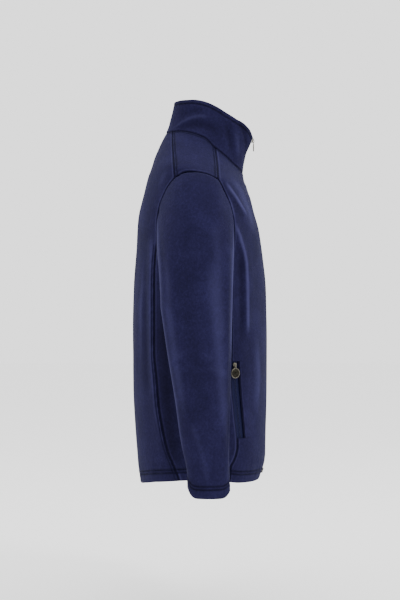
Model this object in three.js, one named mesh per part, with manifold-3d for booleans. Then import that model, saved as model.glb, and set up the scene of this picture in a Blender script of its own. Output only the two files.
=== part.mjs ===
// A fleece zip jacket in its worn shape: thin cloth panels, sleeves, a stand collar, zips and their pulls.
// Millimetres. +Z is up, the front faces -Y and the wearer's right side is at -X.
import * as THREE from "three";
import Module from "manifold-3d";

const wasm = await Module();
wasm.setup();

// Driving sizes
const clothThickness = 2.5;
const collarThickness = 4;
const hemThickness = 4.4;
const hemDepth = 24;
const cuffDepth = 24;
const cuffCornerRise = { front: 11, back: 17 }; // the cuff's corners are round
const hemLevel = -680;
const collarTop = 64;
const seamGap = 0.16;
const armholeGap = 0.22;
const frontEdge = 5;
const zipTapeHalf = 14;
const zipChainHalf = 2.75;
const zipTapeThickness = 1;
const tapeClearance = 0.6;
const pocketTapeDepth = 3.8;
const tapeBehindLip = 0.045; // radians round the body
const tapeBehindSeam = 0.04;
const pocketBottom = -592;
const pocketTop = -441;
const bicepHeight = -335;
const pocketDiscRadius = 10;
const frontDiscRadius = 8;

// Rings of the body. Level is the ring's height at the wearer's side; tilt and bow lower its front.
const bodyRings = [
  { level: -680, halfWidth: 212, centreY: 0, halfDepth: 122, power: 2.4, tilt: -5, bow: 13 },
  { level: -640, halfWidth: 214, centreY: -2.7, halfDepth: 130.2, power: 2.4, tilt: -4, bow: 11 },
  { level: -580, halfWidth: 214, centreY: -1.2, halfDepth: 133.3, power: 2.4, tilt: -3, bow: 8 },
  { level: -500, halfWidth: 214, centreY: -0.2, halfDepth: 136.2, power: 2.4, tilt: -2, bow: 5 },
  { level: -400, halfWidth: 216, centreY: 0, halfDepth: 137, power: 2.4, tilt: 0, bow: 3 },
  { level: -300, halfWidth: 218, centreY: 0.4, halfDepth: 134.7, power: 2.4, tilt: 3, bow: 2 },
  { level: -230, halfWidth: 223, centreY: 1.2, halfDepth: 128.7, power: 2.4, tilt: 8, bow: 3 },
  { level: -170, halfWidth: 228, centreY: 2.7, halfDepth: 123.2, power: 2.4, tilt: 14, bow: 5 },
  { level: -120, halfWidth: 233, centreY: 2, halfDepth: 111, power: 2.35, tilt: 19, bow: 7 },
  { level: -90, halfWidth: 236, centreY: 0.8, halfDepth: 103.7, power: 2.3, tilt: 23, bow: 9 },
  { level: -78, halfWidth: 235, centreY: 0, halfDepth: 99.5, power: 2.3, tilt: 25, bow: 10 },
  { level: -68, halfWidth: 222, centreY: -0.5, halfDepth: 96.5, power: 2.3, tilt: 26.5, bow: 11 },
  { level: -58, halfWidth: 200, centreY: -1, halfDepth: 94, power: 2.3, tilt: 28, bow: 12 },
  { level: -40, halfWidth: 160, centreY: -2.5, halfDepth: 88.5, power: 2.25, tilt: 32, bow: 16 },
  { level: -20, halfWidth: 115, centreY: -5.5, halfDepth: 83.5, power: 2.2, tilt: 36, bow: 21 },
  { level: -8, halfWidth: 91, centreY: -7.8, halfDepth: 80.8, power: 2.15, tilt: 38, bow: 25 },
  { level: 0, halfWidth: 79, centreY: -9, halfDepth: 79, power: 2.1, tilt: 39, bow: 27 },
  { level: 16, halfWidth: 74, centreY: -13.2, halfDepth: 76.8, power: 2.1, tilt: 38, bow: 26 },
  { level: 32, halfWidth: 71, centreY: -17.3, halfDepth: 76.8, power: 2.1, tilt: 37.5, bow: 25.5 },
  { level: 48, halfWidth: 69, centreY: -23, halfDepth: 78.5, power: 2.1, tilt: 37, bow: 25 },
  { level: 64, halfWidth: 68, centreY: -28.3, halfDepth: 80.8, power: 2.1, tilt: 36, bow: 24 },
];

// How far the collar's top edge stands above its tilted ring, from the nape (-1) to the zip (1).
const collarRise = [
  { forward: -1, rise: 0 },
  { forward: -0.7, rise: 0 },
  { forward: -0.45, rise: 1.5 },
  { forward: -0.2, rise: 1.8 },
  { forward: 0.05, rise: 1 },
  { forward: 0.29, rise: 0 },
  { forward: 0.55, rise: 2.2 },
  { forward: 0.81, rise: 7.5 },
  { forward: 0.9, rise: 7.5 },
  { forward: 1, rise: 0 },
];

// How far the hem stands above its tilted ring, from the middle of the back (-1) to the zip (1).
const hemRise = [
  { forward: -1, rise: 0 },
  { forward: -0.9, rise: 5.5 },
  { forward: -0.7, rise: 9 },
  { forward: -0.36, rise: 9 },
  { forward: 0, rise: 7.5 },
  { forward: 0.4, rise: 4 },
  { forward: 0.65, rise: 0.5 },
  { forward: 1, rise: 0 },
];
const hemRiseFrom = -600;

// Sleeve sections below the upper arm, for the right sleeve; the left one mirrors them.
const sleeveSections = [
  { height: -335, centreX: -274, halfX: 50.5, centreY: 6.5, halfY: 68.5 },
  { height: -417, centreX: -281, halfX: 47, centreY: 1.5, halfY: 61.5 },
  { height: -511, centreX: -289, halfX: 42, centreY: -5, halfY: 52 },
  { height: -578, centreX: -294, halfX: 39, centreY: -8.8, halfY: 46.8 },
  { height: -655, centreX: -299, halfX: 35, centreY: -15.6, halfY: 40.7 },
  { height: -692, centreX: -301, halfX: 33, centreY: -16.6, halfY: 40.6 },
];

// Seams as the wearer's side view shows them: y front to back, z height.
const backSideSeam = [
  { y: 84.5, z: -215 },
  { y: 88, z: -260 },
  { y: 89, z: -312 },
  { y: 89, z: -423 },
  { y: 84, z: -480 },
  { y: 80, z: -528 },
  { y: 72, z: -577 },
  { y: 62, z: -618 },
  { y: 49, z: -649 },
  { y: 37, z: -682 },
];
const frontSideSeam = [
  { y: -63, z: -232 },
  { y: -62, z: -290 },
  { y: -60, z: -439 },
  { y: -68, z: -548 },
  { y: -72, z: -585 },
  { y: -73, z: -606 },
  { y: -68, z: -631 },
  { y: -60, z: -645 },
  { y: -56, z: -684 },
];
const pocketLip = [
  { y: -74.5, z: -436 },
  { y: -77.5, z: -487 },
  { y: -88, z: -600 },
];
const armholeFront = [
  { y: -63, z: -232 },
  { y: -66, z: -200 },
  { y: -65, z: -169 },
  { y: -59.5, z: -140 },
  { y: -48, z: -114 },
  { y: -35.5, z: -89 },
];
const armholeTop = [
  { y: -35.5, z: -89 },
  { y: -12, z: -78 },
  { y: 9, z: -75 },
  { y: 28, z: -76 },
  { y: 49, z: -86 },
];
const armholeBack = [
  { y: 49, z: -86 },
  { y: 60, z: -99 },
  { y: 71, z: -119 },
  { y: 79.5, z: -142 },
  { y: 84, z: -172 },
  { y: 84.5, z: -215 },
];
const armholeUnder = [
  { y: 84.5, z: -215 },
  { y: 75, z: -248 },
  { y: 50, z: -283 },
  { y: 10, z: -299 },
  { y: -28, z: -288 },
  { y: -52, z: -262 },
  { y: -63, z: -232 },
];
const shoulderFront = [
  { y: -35.5, z: -89 },
  { y: -33, z: -58 },
  { y: -28, z: -19 },
];
const shoulderBack = [
  { y: 49, z: -86 },
  { y: 53, z: -42 },
  { y: 57, z: 2 },
];

// Broad folds that the drape pulls into the body, by the wearer's side that carries them.
const bodyFolds = [
  { side: 1, height: 4.5, spread: 11, path: [[-66, -168], [-86, -225], [-93, -262], [-95, -303], [-93, -370]] },
  { side: 1, height: 2.5, spread: 10, path: [[-50, -96], [-84, -150], [-98, -175]] },
  { side: 1, height: 3, spread: 10, path: [[94, -215], [97, -286], [95, -430], [88, -540], [74, -610]] },
  { side: -1, height: 4, spread: 12, path: [[-68, -176], [-88, -235], [-94, -272], [-94, -318], [-90, -390]] },
  { side: -1, height: 2.5, spread: 10, path: [[-52, -100], [-82, -148], [-97, -178]] },
  { side: -1, height: 3, spread: 10, path: [[93, -220], [97, -300], [94, -440], [86, -548], [73, -606]] },
];

// Long soft folds of a sleeve: turn is the place round it, 0 outside, 0.25 in front, 0.5 inside, 0.75 behind.
const sleeveFolds = [
  { side: 1, height: 2.6, spread: 0.035, turn: 0.16, turnLow: 0.14, from: -250, to: -650 },
  { side: 1, height: 2.2, spread: 0.035, turn: 0.87, turnLow: 0.9, from: -200, to: -420 },
  { side: -1, height: 2.4, spread: 0.035, turn: 0.15, turnLow: 0.13, from: -270, to: -640 },
  { side: -1, height: 2.4, spread: 0.035, turn: 0.86, turnLow: 0.9, from: -190, to: -440 },
];

// Curves through tables
function slopesOf(xs, ys) {
  const steps = xs.slice(1).map((x, i) => (ys[i + 1] - ys[i]) / (x - xs[i]));
  return xs.map((x, i) => {
    if (i === 0) return steps[0];
    if (i === xs.length - 1) return steps[i - 1];
    const before = steps[i - 1];
    const after = steps[i];
    return before * after <= 0 ? 0 : (2 * before * after) / (before + after);
  });
}

function curveOf(rows, xName, yName) {
  const sorted = [...rows].sort((p, q) => p[xName] - q[xName]);
  const xs = sorted.map((row) => row[xName]);
  const ys = sorted.map((row) => row[yName]);
  const slopes = slopesOf(xs, ys);
  return (x) => {
    const inside = Math.min(Math.max(x, xs[0]), xs[xs.length - 1]);
    let k = 0;
    while (k < xs.length - 2 && inside > xs[k + 1]) k += 1;
    const width = xs[k + 1] - xs[k];
    const u = (inside - xs[k]) / width;
    const v = 1 - u;
    const ends = v * v * (1 + 2 * u) * ys[k] + u * u * (1 + 2 * v) * ys[k + 1];
    return ends + width * u * v * (v * slopes[k] - u * slopes[k + 1]);
  };
}

function curvesOf(rows, xName) {
  const names = Object.keys(rows[0]).filter((name) => name !== xName);
  const curves = names.map((name) => curveOf(rows, xName, name));
  return (x) => Object.fromEntries(names.map((name, i) => [name, curves[i](x)]));
}

function mix(a, b, u) {
  return a + (b - a) * u;
}

function smoothStep(low, high, x) {
  const u = Math.min(Math.max((x - low) / (high - low), 0), 1);
  return u * u * (3 - 2 * u);
}

function evenly(count) {
  return Array.from({ length: count + 1 }, (_, i) => i / count);
}

// The body's outer surface: turn is the angle round it, 0 at the zip, positive over the wearer's right side
const ringAt = curvesOf(bodyRings, "level");
const riseAt = curveOf(collarRise, "forward", "rise");
const hemRiseAt = curveOf(hemRise, "forward", "rise");

function distanceToPath(y, z, path) {
  let nearest = Infinity;
  for (let i = 0; i + 1 < path.length; i += 1) {
    const [y0, z0] = path[i];
    const [y1, z1] = path[i + 1];
    const along = (y - y0) * (y1 - y0) + (z - z0) * (z1 - z0);
    const u = Math.min(Math.max(along / ((y1 - y0) ** 2 + (z1 - z0) ** 2), 0), 1);
    nearest = Math.min(nearest, Math.hypot(y - mix(y0, y1, u), z - mix(z0, z1, u)));
  }
  return nearest;
}

function foldAt(turn, y, z) {
  let height = 0;
  for (const fold of bodyFolds) {
    if (fold.side * turn <= 0) continue;
    height += fold.height * Math.exp(-((distanceToPath(y, z, fold.path) / fold.spread) ** 2));
  }
  return height;
}

function bodyPoint(turn, level) {
  const ring = ringAt(level);
  const cosine = Math.cos(turn);
  const sine = Math.sin(turn);
  const deep = Math.abs(cosine / ring.halfDepth) ** ring.power;
  const wide = Math.abs(sine / ring.halfWidth) ** ring.power;
  const radius = (deep + wide) ** (-1 / ring.power);
  const forward = (radius * cosine) / ring.halfDepth;
  const atHem = hemRiseAt(forward) * smoothStep(hemRiseFrom, hemLevel, level);
  const lift = riseAt(forward) * smoothStep(0, collarTop, level) + atHem;
  const y = ring.centreY - radius * cosine;
  const z = level - ring.tilt * forward - ring.bow * forward * forward + lift;
  const fold = foldAt(turn, y, z);
  return new THREE.Vector3(-(radius + fold) * sine, y - fold * cosine, z);
}

function bodyNormal(turn, level) {
  const acrossBody = bodyPoint(turn + 0.004, level).sub(bodyPoint(turn - 0.004, level));
  const upBody = bodyPoint(turn, level + 1.2).sub(bodyPoint(turn, level - 1.2));
  return upBody.cross(acrossBody).normalize();
}

// Finds the place on the right side that the side view shows at y and z.
function locate(y, z) {
  let level = z;
  let turn = 1.5;
  for (let round = 0; round < 40; round += 1) {
    let low = 0.02;
    let high = Math.PI - 0.02;
    for (let i = 0; i < 30; i += 1) {
      turn = (low + high) / 2;
      if (bodyPoint(turn, level).y < y) low = turn;
      else high = turn;
    }
    level += 0.8 * (z - bodyPoint(turn, level).z);
  }
  return { turn, level };
}

// Even samples along a seam drawn in the side view, as places on the body.
function placesAlong(path, samples) {
  const lengths = [0];
  for (let i = 1; i < path.length; i += 1) {
    lengths.push(lengths[i - 1] + Math.hypot(path[i].y - path[i - 1].y, path[i].z - path[i - 1].z));
  }
  const whole = lengths[path.length - 1];
  const rows = path.map((point, i) => ({ along: lengths[i] / whole, y: point.y, z: point.z }));
  const at = curvesOf(rows, "along");
  return samples.map((u) => locate(at(u).y, at(u).z));
}

// A seam as turn over level, for seams that run up the body.
function seamOverLevel(path) {
  return curveOf(placesAlong(path, evenly(24)), "level", "turn");
}

// Closed shells from an outer and an inner grid of points
function geometryOf(points, triangles) {
  const flat = new Float32Array(points.flatMap((p) => [p.x, p.y, p.z]));
  const geometry = new THREE.BufferGeometry();
  geometry.setAttribute("position", new THREE.BufferAttribute(flat, 3));
  let volume = 0;
  for (let i = 0; i < triangles.length; i += 3) {
    const [a, b, c] = [points[triangles[i]], points[triangles[i + 1]], points[triangles[i + 2]]];
    volume += a.dot(new THREE.Vector3().crossVectors(b, c));
  }
  const facing = volume > 0 ? triangles : triangles.slice().reverse();
  geometry.setIndex(facing);
  geometry.computeVertexNormals();
  return geometry;
}

function shellGeometry(outer, inner, closedRound) {
  const rows = outer.length;
  const columns = outer[0].length;
  const points = [...outer.flat(), ...inner.flat()];
  const half = rows * columns;
  const triangles = [];
  const corner = (layer, i, j) => layer * half + i * columns + (j % columns);
  const quad = (a, b, c, d) => triangles.push(a, b, c, a, c, d);
  const lastColumn = closedRound ? columns : columns - 1;
  for (let i = 0; i + 1 < rows; i += 1) {
    for (let j = 0; j < lastColumn; j += 1) {
      quad(corner(0, i, j), corner(0, i, j + 1), corner(0, i + 1, j + 1), corner(0, i + 1, j));
      quad(corner(1, i, j), corner(1, i + 1, j), corner(1, i + 1, j + 1), corner(1, i, j + 1));
    }
  }
  for (let j = 0; j < lastColumn; j += 1) {
    quad(corner(0, 0, j), corner(1, 0, j), corner(1, 0, j + 1), corner(0, 0, j + 1));
    const end = rows - 1;
    quad(corner(0, end, j), corner(0, end, j + 1), corner(1, end, j + 1), corner(1, end, j));
  }
  if (!closedRound) {
    for (let i = 0; i + 1 < rows; i += 1) {
      const end = columns - 1;
      quad(corner(0, i, 0), corner(0, i + 1, 0), corner(1, i + 1, 0), corner(1, i, 0));
      quad(corner(0, i, end), corner(1, i, end), corner(1, i + 1, end), corner(0, i + 1, end));
    }
  }
  return geometryOf(points, triangles);
}

// Draws a panel's edge in from its seams by the gap, square to each edge and mitred at the corners.
function drawnIn(points, normals, gap) {
  const rows = points.length;
  const columns = points[0].length;
  const loop = [];
  for (let j = 0; j < columns; j += 1) loop.push([0, j]);
  for (let i = 1; i < rows; i += 1) loop.push([i, columns - 1]);
  for (let j = columns - 2; j >= 0; j -= 1) loop.push([rows - 1, j]);
  for (let i = rows - 2; i > 0; i -= 1) loop.push([i, 0]);
  const middle = points[rows >> 1][columns >> 1];
  const first = points[rows >> 1][0];
  const edgeWay = points[(rows >> 1) - 1][0].clone().sub(first);
  const testNormal = normals[rows >> 1][0];
  const testInward = new THREE.Vector3().crossVectors(testNormal, edgeWay);
  const facing = Math.sign(testInward.dot(middle.clone().sub(first)));
  const shifts = loop.map(([i, j], k) => {
    const [pi, pj] = loop[(k + loop.length - 1) % loop.length];
    const [ni, nj] = loop[(k + 1) % loop.length];
    const here = points[i][j];
    const side = normals[i][j].clone().multiplyScalar(facing);
    const inward = (way) => new THREE.Vector3().crossVectors(side, way).normalize();
    const before = inward(here.clone().sub(points[pi][pj]));
    const after = inward(points[ni][nj].clone().sub(here));
    const sharp = Math.max(1 + before.dot(after), 0.08);
    return before.add(after).multiplyScalar(gap / sharp);
  });
  const moved = points.map((row) => row.map((p) => p.clone()));
  loop.forEach(([i, j], k) => moved[i][j].add(shifts[k]));
  return moved;
}

function panelGeometry(places, thicknessAt) {
  const raw = places.map((row) => row.map((p) => bodyPoint(p.turn, p.level)));
  const normals = places.map((row) => row.map((p) => bodyNormal(p.turn, p.level)));
  const outer = drawnIn(raw, normals, seamGap);
  const inner = outer.map((row, i) =>
    row.map((p, j) => p.clone().addScaledVector(normals[i][j], -thicknessAt(places[i][j].level))),
  );
  return shellGeometry(outer, inner, false);
}

function bodyThickness(level) {
  return level < hemTop ? hemThickness : clothThickness;
}

function mirroredPlaces(places) {
  return places.map((row) => row.map((p) => ({ turn: -p.turn, level: p.level })));
}

// Seams shared by neighbouring panels
const hemTop = hemLevel + hemDepth;
const lowLevels = [
  hemLevel, hemTop - 0.4, hemTop + 0.4, -636, -614, pocketBottom, -568, -542, -516, -490, -465, pocketTop, -412,
  -385, -357, -330,
];
const risePlaces = [0.25, 0.5, 0.75, 1];
const frontSeamAt = seamOverLevel(frontSideSeam);
const backSeamAt = seamOverLevel(backSideSeam);
const lipAt = seamOverLevel(pocketLip);
const frontBranch = placesAlong(armholeFront, evenly(6));
const topBranch = placesAlong(armholeTop, evenly(5));
const backBranch = placesAlong(armholeBack, evenly(6));
const underBranch = placesAlong(armholeUnder, evenly(7));
const shoulderFrontPlaces = placesAlong(shoulderFront, evenly(5));
const shoulderBackPlaces = placesAlong(shoulderBack, evenly(5));
shoulderFrontPlaces[5].level = 0;
shoulderBackPlaces[5].level = 0;

// Each piece's edge up its seams, from the hem to the neck
function edgeUp(seamAt, seamTop, branch, shoulder) {
  const low = lowLevels.map((level) => ({ level, turn: seamAt(level) }));
  const rise = risePlaces.map((u) => {
    const level = mix(-330, seamTop.level, u);
    return { level, turn: u === 1 ? seamTop.turn : seamAt(level) };
  });
  return [...low, ...rise, ...branch.slice(1), ...shoulder.slice(1)];
}

const frontEdgeUp = edgeUp(frontSeamAt, frontBranch[0], frontBranch, shoulderFrontPlaces);
const backEdgeUp = edgeUp(backSeamAt, underBranch[0], [...backBranch].reverse(), shoulderBackPlaces);

function zipTurn(level, x) {
  return Math.asin(x / ringAt(level).halfDepth);
}

// Front panels
const frontColumns = evenly(13).map((u) => u ** 0.8);
const frontRowEdges = frontEdgeUp.flatMap((edge) => {
  const lip = (level) => ({ level, turn: lipAt(level) });
  if (edge.level === pocketBottom) return [edge, lip(edge.level + 0.7)];
  if (edge.level === pocketTop) return [lip(edge.level - 0.7), edge];
  if (edge.level > pocketBottom && edge.level < pocketTop) return [lip(edge.level)];
  return [edge];
});
const frontPlaces = frontRowEdges.map((edge) =>
  frontColumns.map((u) => ({ turn: mix(zipTurn(edge.level, frontEdge), edge.turn, u), level: edge.level })),
);

// Back panel, from the right seam round the back to the left one
const backColumns = evenly(18);
const backPlaces = backEdgeUp.map((edge) =>
  backColumns.map((u) => ({ turn: mix(edge.turn, 2 * Math.PI - edge.turn, u), level: edge.level })),
);

// Side panels, under the arm
const sidePlaces = [
  ...lowLevels.map((level) =>
    evenly(7).map((u) => ({ turn: mix(backSeamAt(level), frontSeamAt(level), u), level })),
  ),
  ...risePlaces.map((rise) =>
    underBranch.map((top, j) => {
      const u = j / 7;
      const topLevel = mix(-330, top.level, rise);
      const levelBack = mix(-330, underBranch[0].level, rise);
      const levelFront = mix(-330, underBranch[7].level, rise);
      const between = mix(backSeamAt(levelBack), frontSeamAt(levelFront), u);
      const slip = top.turn - mix(underBranch[0].turn, underBranch[7].turn, u);
      return { turn: between + slip * rise ** 2, level: topLevel };
    }),
  ),
];

// Shoulder panels, from the neck to the top of the armhole
const shoulderPlaces = evenly(5).map((rise, i) => {
  const front = shoulderFrontPlaces[5 - i];
  const back = shoulderBackPlaces[5 - i];
  return topBranch.map((top, j) => {
    const u = j / 5;
    const sag = top.level - mix(topBranch[0].level, topBranch[5].level, u);
    const slip = top.turn - mix(topBranch[0].turn, topBranch[5].turn, u);
    return {
      turn: mix(front.turn, back.turn, u) + slip * rise ** 2,
      level: mix(front.level, back.level, u) + sag * rise ** 3,
    };
  });
});

// Collar, on the same columns as the pieces it is sewn to
const collarLevels = [0, 13, 27, 41, 53, collarTop];
const neckTurns = [
  ...frontPlaces[frontPlaces.length - 1].map((p) => p.turn),
  ...shoulderPlaces[0].slice(1).map((p) => p.turn),
  ...backPlaces[backPlaces.length - 1].slice(1, -1).map((p) => p.turn),
  ...shoulderPlaces[0].slice(1).map((p) => 2 * Math.PI - p.turn).reverse(),
  ...frontPlaces[frontPlaces.length - 1].map((p) => 2 * Math.PI - p.turn).reverse(),
];
const collarPlaces = collarLevels.map((level) =>
  neckTurns.map((turn, j) => {
    if (j === 0) return { turn: zipTurn(level, frontEdge), level };
    if (j === neckTurns.length - 1) return { turn: 2 * Math.PI - zipTurn(level, frontEdge), level };
    return { turn, level };
  }),
);

// Sleeves
const armholeRing = [
  ...[...topBranch].slice(0, 3).reverse().slice(0, 2),
  ...[...frontBranch].reverse(),
  ...[...underBranch].reverse().slice(1),
  ...[...backBranch].reverse().slice(1),
  ...[...topBranch].reverse().slice(1, 3),
];

function sleeveGrid(side) {
  const ring = armholeRing.map((p) => bodyPoint(side * p.turn, p.level));
  const normals = armholeRing.map((p) => bodyNormal(side * p.turn, p.level));
  const centre = ring.reduce((sum, p) => sum.add(p), new THREE.Vector3()).divideScalar(ring.length);
  const count = ring.length;
  const lengths = [0];
  for (let j = 1; j <= count; j += 1) {
    lengths.push(lengths[j - 1] + ring[j - 1].distanceTo(ring[j % count]));
  }
  const topShift = lengths[1] * 0.5;
  const turns = ring.map((_, j) => (lengths[j] - topShift) / lengths[count]);
  const start = ring.map((p, j) => {
    const way = ring[(j + 1) % count].clone().sub(ring[(j + count - 1) % count]);
    const intoHole = new THREE.Vector3().crossVectors(normals[j], way).normalize();
    if (intoHole.dot(centre.clone().sub(p)) < 0) intoHole.negate();
    return p.clone().addScaledVector(intoHole, armholeGap);
  });
  const sectionAt = curvesOf(sleeveSections, "height");
  const sectionPoint = (turn, height) => {
    const section = sectionAt(height);
    const angle = 2 * Math.PI * turn;
    let fold = 0;
    for (const f of sleeveFolds) {
      if (f.side !== side) continue;
      const along = smoothStep(f.from, f.from - 70, height) * smoothStep(f.to, f.to + 90, height);
      const place = mix(f.turn, f.turnLow, (height - f.from) / (f.to - f.from));
      const away = Math.abs(((turn - place + 1.5) % 1) - 0.5);
      fold += f.height * along * Math.exp(-((away / f.spread) ** 2));
    }
    const x = section.centreX - (section.halfX + fold) * Math.cos(angle);
    const y = section.centreY - (section.halfY + fold) * Math.sin(angle);
    const corner = Math.max(Math.abs(Math.sin(angle)) - 0.4, 0) / 0.6;
    const cornerRise = turn < 0.5 ? cuffCornerRise.front : cuffCornerRise.back;
    const z = height + cornerRise * corner ** 4 * smoothStep(-600, -692, height);
    return new THREE.Vector3(side * x, y, z);
  };
  const capRows = [0, 0.07, 0.16, 0.27, 0.4, 0.55, 0.7, 0.85, 1];
  const cuffTop = -692 + cuffDepth;
  const lowRows = [
    -362, -390, -417, -448, -480, -511, -545, -578, -610, -640, cuffTop + 0.4, cuffTop - 0.4, -692,
  ];
  const rows = capRows.map((u) =>
    start.map((from, j) => {
      if (u === 0) return from.clone();
      const to = sectionPoint(turns[j], bicepHeight);
      const reach = from.distanceTo(to);
      const top = 0.5 + 0.5 * Math.cos(2 * Math.PI * turns[j]);
      const wayOut = new THREE.Vector3(-side, 0, -mix(1.1, 0.5, top)).setLength(reach * 0.85);
      const wayDown = new THREE.Vector3(-side * 0.08, 0, -1).multiplyScalar(reach * 0.95);
      const v = 1 - u;
      const point = from.clone().multiplyScalar(v * v * (1 + 2 * u));
      point.addScaledVector(to, u * u * (1 + 2 * v));
      point.addScaledVector(wayOut, u * v * v);
      return point.addScaledVector(wayDown, -u * u * v);
    }),
  );
  lowRows.forEach((height) => rows.push(turns.map((turn) => sectionPoint(turn, height))));
  return rows;
}

function gridNormals(grid, side) {
  const rows = grid.length;
  const columns = grid[0].length;
  return grid.map((row, i) =>
    row.map((_, j) => {
      const round = grid[i][(j + 1) % columns].clone().sub(grid[i][(j + columns - 1) % columns]);
      const down = grid[Math.min(i + 1, rows - 1)][j].clone().sub(grid[Math.max(i - 1, 0)][j]);
      return down.cross(round).multiplyScalar(side).normalize();
    }),
  );
}

function sleeveGeometry(side) {
  const outer = sleeveGrid(side);
  const normals = gridNormals(outer, side);
  const rows = outer.length;
  const inner = outer.map((row, i) =>
    row.map((p, j) => {
      const turnedUp = i >= rows - 2;
      return p.clone().addScaledVector(normals[i][j], -(turnedUp ? hemThickness : clothThickness));
    }),
  );
  return shellGeometry(outer, inner, true);
}

// Zips: a tape behind the edges with the closed chain standing up between them
function zipGeometry() {
  const levels = [
    -675, -664, -662.5, -653.5, -651, -636, -614, -580, -540, -500, -460, -420, -380, -340, -300, -262, -226,
    -194, -165, -138, -112, -90, -70, -50, -30, -14, -5, -1.5, 12, 26, 40, 52, 61,
  ];
  const across = [
    -zipTapeHalf, -zipChainHalf - 0.1, -zipChainHalf, zipChainHalf, zipChainHalf + 0.1, zipTapeHalf,
  ];
  const depthAt = (level) => {
    if (level < -652) return hemThickness + tapeClearance;
    return level > -3 ? collarThickness + tapeClearance : clothThickness + tapeClearance;
  };
  const chainAt = (level, x) => level > -663 && Math.abs(x) <= zipChainHalf;
  const place = (level, x, depth) => {
    const turn = -zipTurn(level, x);
    return bodyPoint(turn, level).addScaledVector(bodyNormal(turn, level), -depth);
  };
  const outerDepth = (level, x) => (chainAt(level, x) ? 0.6 : depthAt(level));
  const outer = levels.map((level) => across.map((x) => place(level, x, outerDepth(level, x))));
  const inner = levels.map((level) => across.map((x) => place(level, x, depthAt(level) + zipTapeThickness)));
  return shellGeometry(outer, inner, false);
}

function pocketTapeGeometry(side) {
  const levels = [-602, -592, -568, -542, -516, -490, -465, -441, -431];
  const grids = [pocketTapeDepth, pocketTapeDepth + zipTapeThickness].map((depth) =>
    levels.map((level) =>
      evenly(4).map((u) => {
        const turn = side * mix(lipAt(level) - tapeBehindLip, frontSeamAt(level) + tapeBehindSeam, u);
        return bodyPoint(turn, level).addScaledVector(bodyNormal(turn, level), -depth);
      }),
    ),
  );
  return shellGeometry(grids[0], grids[1], false);
}

// Hard pieces are joined from simple solids
function solidOf(geometry) {
  const plain = geometry.index ? geometry : geometry.clone();
  const position = plain.getAttribute("position");
  const keys = new Map();
  const points = [];
  const ids = [];
  for (let i = 0; i < position.count; i += 1) {
    const values = [position.getX(i), position.getY(i), position.getZ(i)];
    const key = values.map((v) => Math.round(v * 2000)).join(",");
    if (!keys.has(key)) {
      keys.set(key, points.length / 3);
      points.push(...values);
    }
    ids.push(keys.get(key));
  }
  const order = plain.index ? Array.from(plain.index.array) : ids.map((_, i) => i);
  const triangles = [];
  for (let i = 0; i < order.length; i += 3) {
    const [a, b, c] = [ids[order[i]], ids[order[i + 1]], ids[order[i + 2]]];
    if (a !== b && b !== c && c !== a) triangles.push(a, b, c);
  }
  const mesh = { numProp: 3, vertProperties: new Float32Array(points), triVerts: new Uint32Array(triangles) };
  return new wasm.Manifold(new wasm.Mesh(mesh));
}

function joined(added, removed = []) {
  let solid = solidOf(added[0]);
  added.slice(1).forEach((geometry) => {
    solid = solid.add(solidOf(geometry));
  });
  removed.forEach((geometry) => {
    solid = solid.subtract(solidOf(geometry));
  });
  const mesh = solid.getMesh();
  const geometry = new THREE.BufferGeometry();
  const flat = new Float32Array(mesh.numVert * 3);
  for (let i = 0; i < mesh.numVert; i += 1) {
    for (let k = 0; k < 3; k += 1) flat[3 * i + k] = mesh.vertProperties[i * mesh.numProp + k];
  }
  geometry.setAttribute("position", new THREE.BufferAttribute(flat, 3));
  geometry.setIndex(Array.from(mesh.triVerts));
  geometry.computeVertexNormals();
  return geometry;
}

function block(x0, x1, y0, y1, z0, z1) {
  const box = new THREE.BoxGeometry(x1 - x0, y1 - y0, z1 - z0);
  return box.translate((x0 + x1) / 2, (y0 + y1) / 2, (z0 + z1) / 2);
}

// Slider in its own frame: x along the hinge, y out from the cloth, z up the zip
function sliderGeometry(plateLow, plateHigh) {
  const outline = new THREE.Shape();
  outline.moveTo(-2.6, -4.6);
  outline.lineTo(2.6, -4.6);
  outline.lineTo(4, 1.6);
  outline.lineTo(3.2, 4.6);
  outline.lineTo(-3.2, 4.6);
  outline.lineTo(-4, 1.6);
  outline.closePath();
  const plate = new THREE.ExtrudeGeometry(outline, { depth: plateHigh - plateLow, bevelEnabled: false });
  plate.rotateX(Math.PI / 2).translate(0, plateHigh, 0);
  const bridge = block(-0.95, 0.95, plateHigh - 0.3, plateHigh + 3.1, -3.6, 1.5);
  const opening = block(-2, 2, plateHigh + 0.5, plateHigh + 2.3, -2.7, 0.7);
  return joined([plate, bridge], [opening]);
}

// Pull in its own frame, hinge at the origin: a bar, two legs and a rimmed plain disc hanging down
function pullGeometry(discRadius) {
  const bar = new THREE.CylinderGeometry(0.55, 0.55, 4.9, 12).rotateZ(Math.PI / 2);
  const legs = [-1, 1].map((end) => block(end * 1.9 - 0.55, end * 1.9 + 0.55, -0.5, 0.6, -5.2, 0.5));
  const profile = [
    [0, -0.5],
    [discRadius - 1.8, -0.5],
    [discRadius - 1.2, -0.9],
    [discRadius - 0.4, -0.9],
    [discRadius, -0.5],
    [discRadius, 0.5],
    [discRadius - 0.4, 0.9],
    [discRadius - 1.2, 0.9],
    [discRadius - 1.8, 0.5],
    [0, 0.5],
  ].map(([radius, height]) => new THREE.Vector2(radius, height));
  const disc = new THREE.LatheGeometry(profile, 32).translate(0, 0.1, -3.6 - discRadius);
  const neck = block(-2.45, 2.45, -0.5, 0.6, -5.6, -3.9);
  return joined([bar, ...legs, neck, disc]);
}

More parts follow.
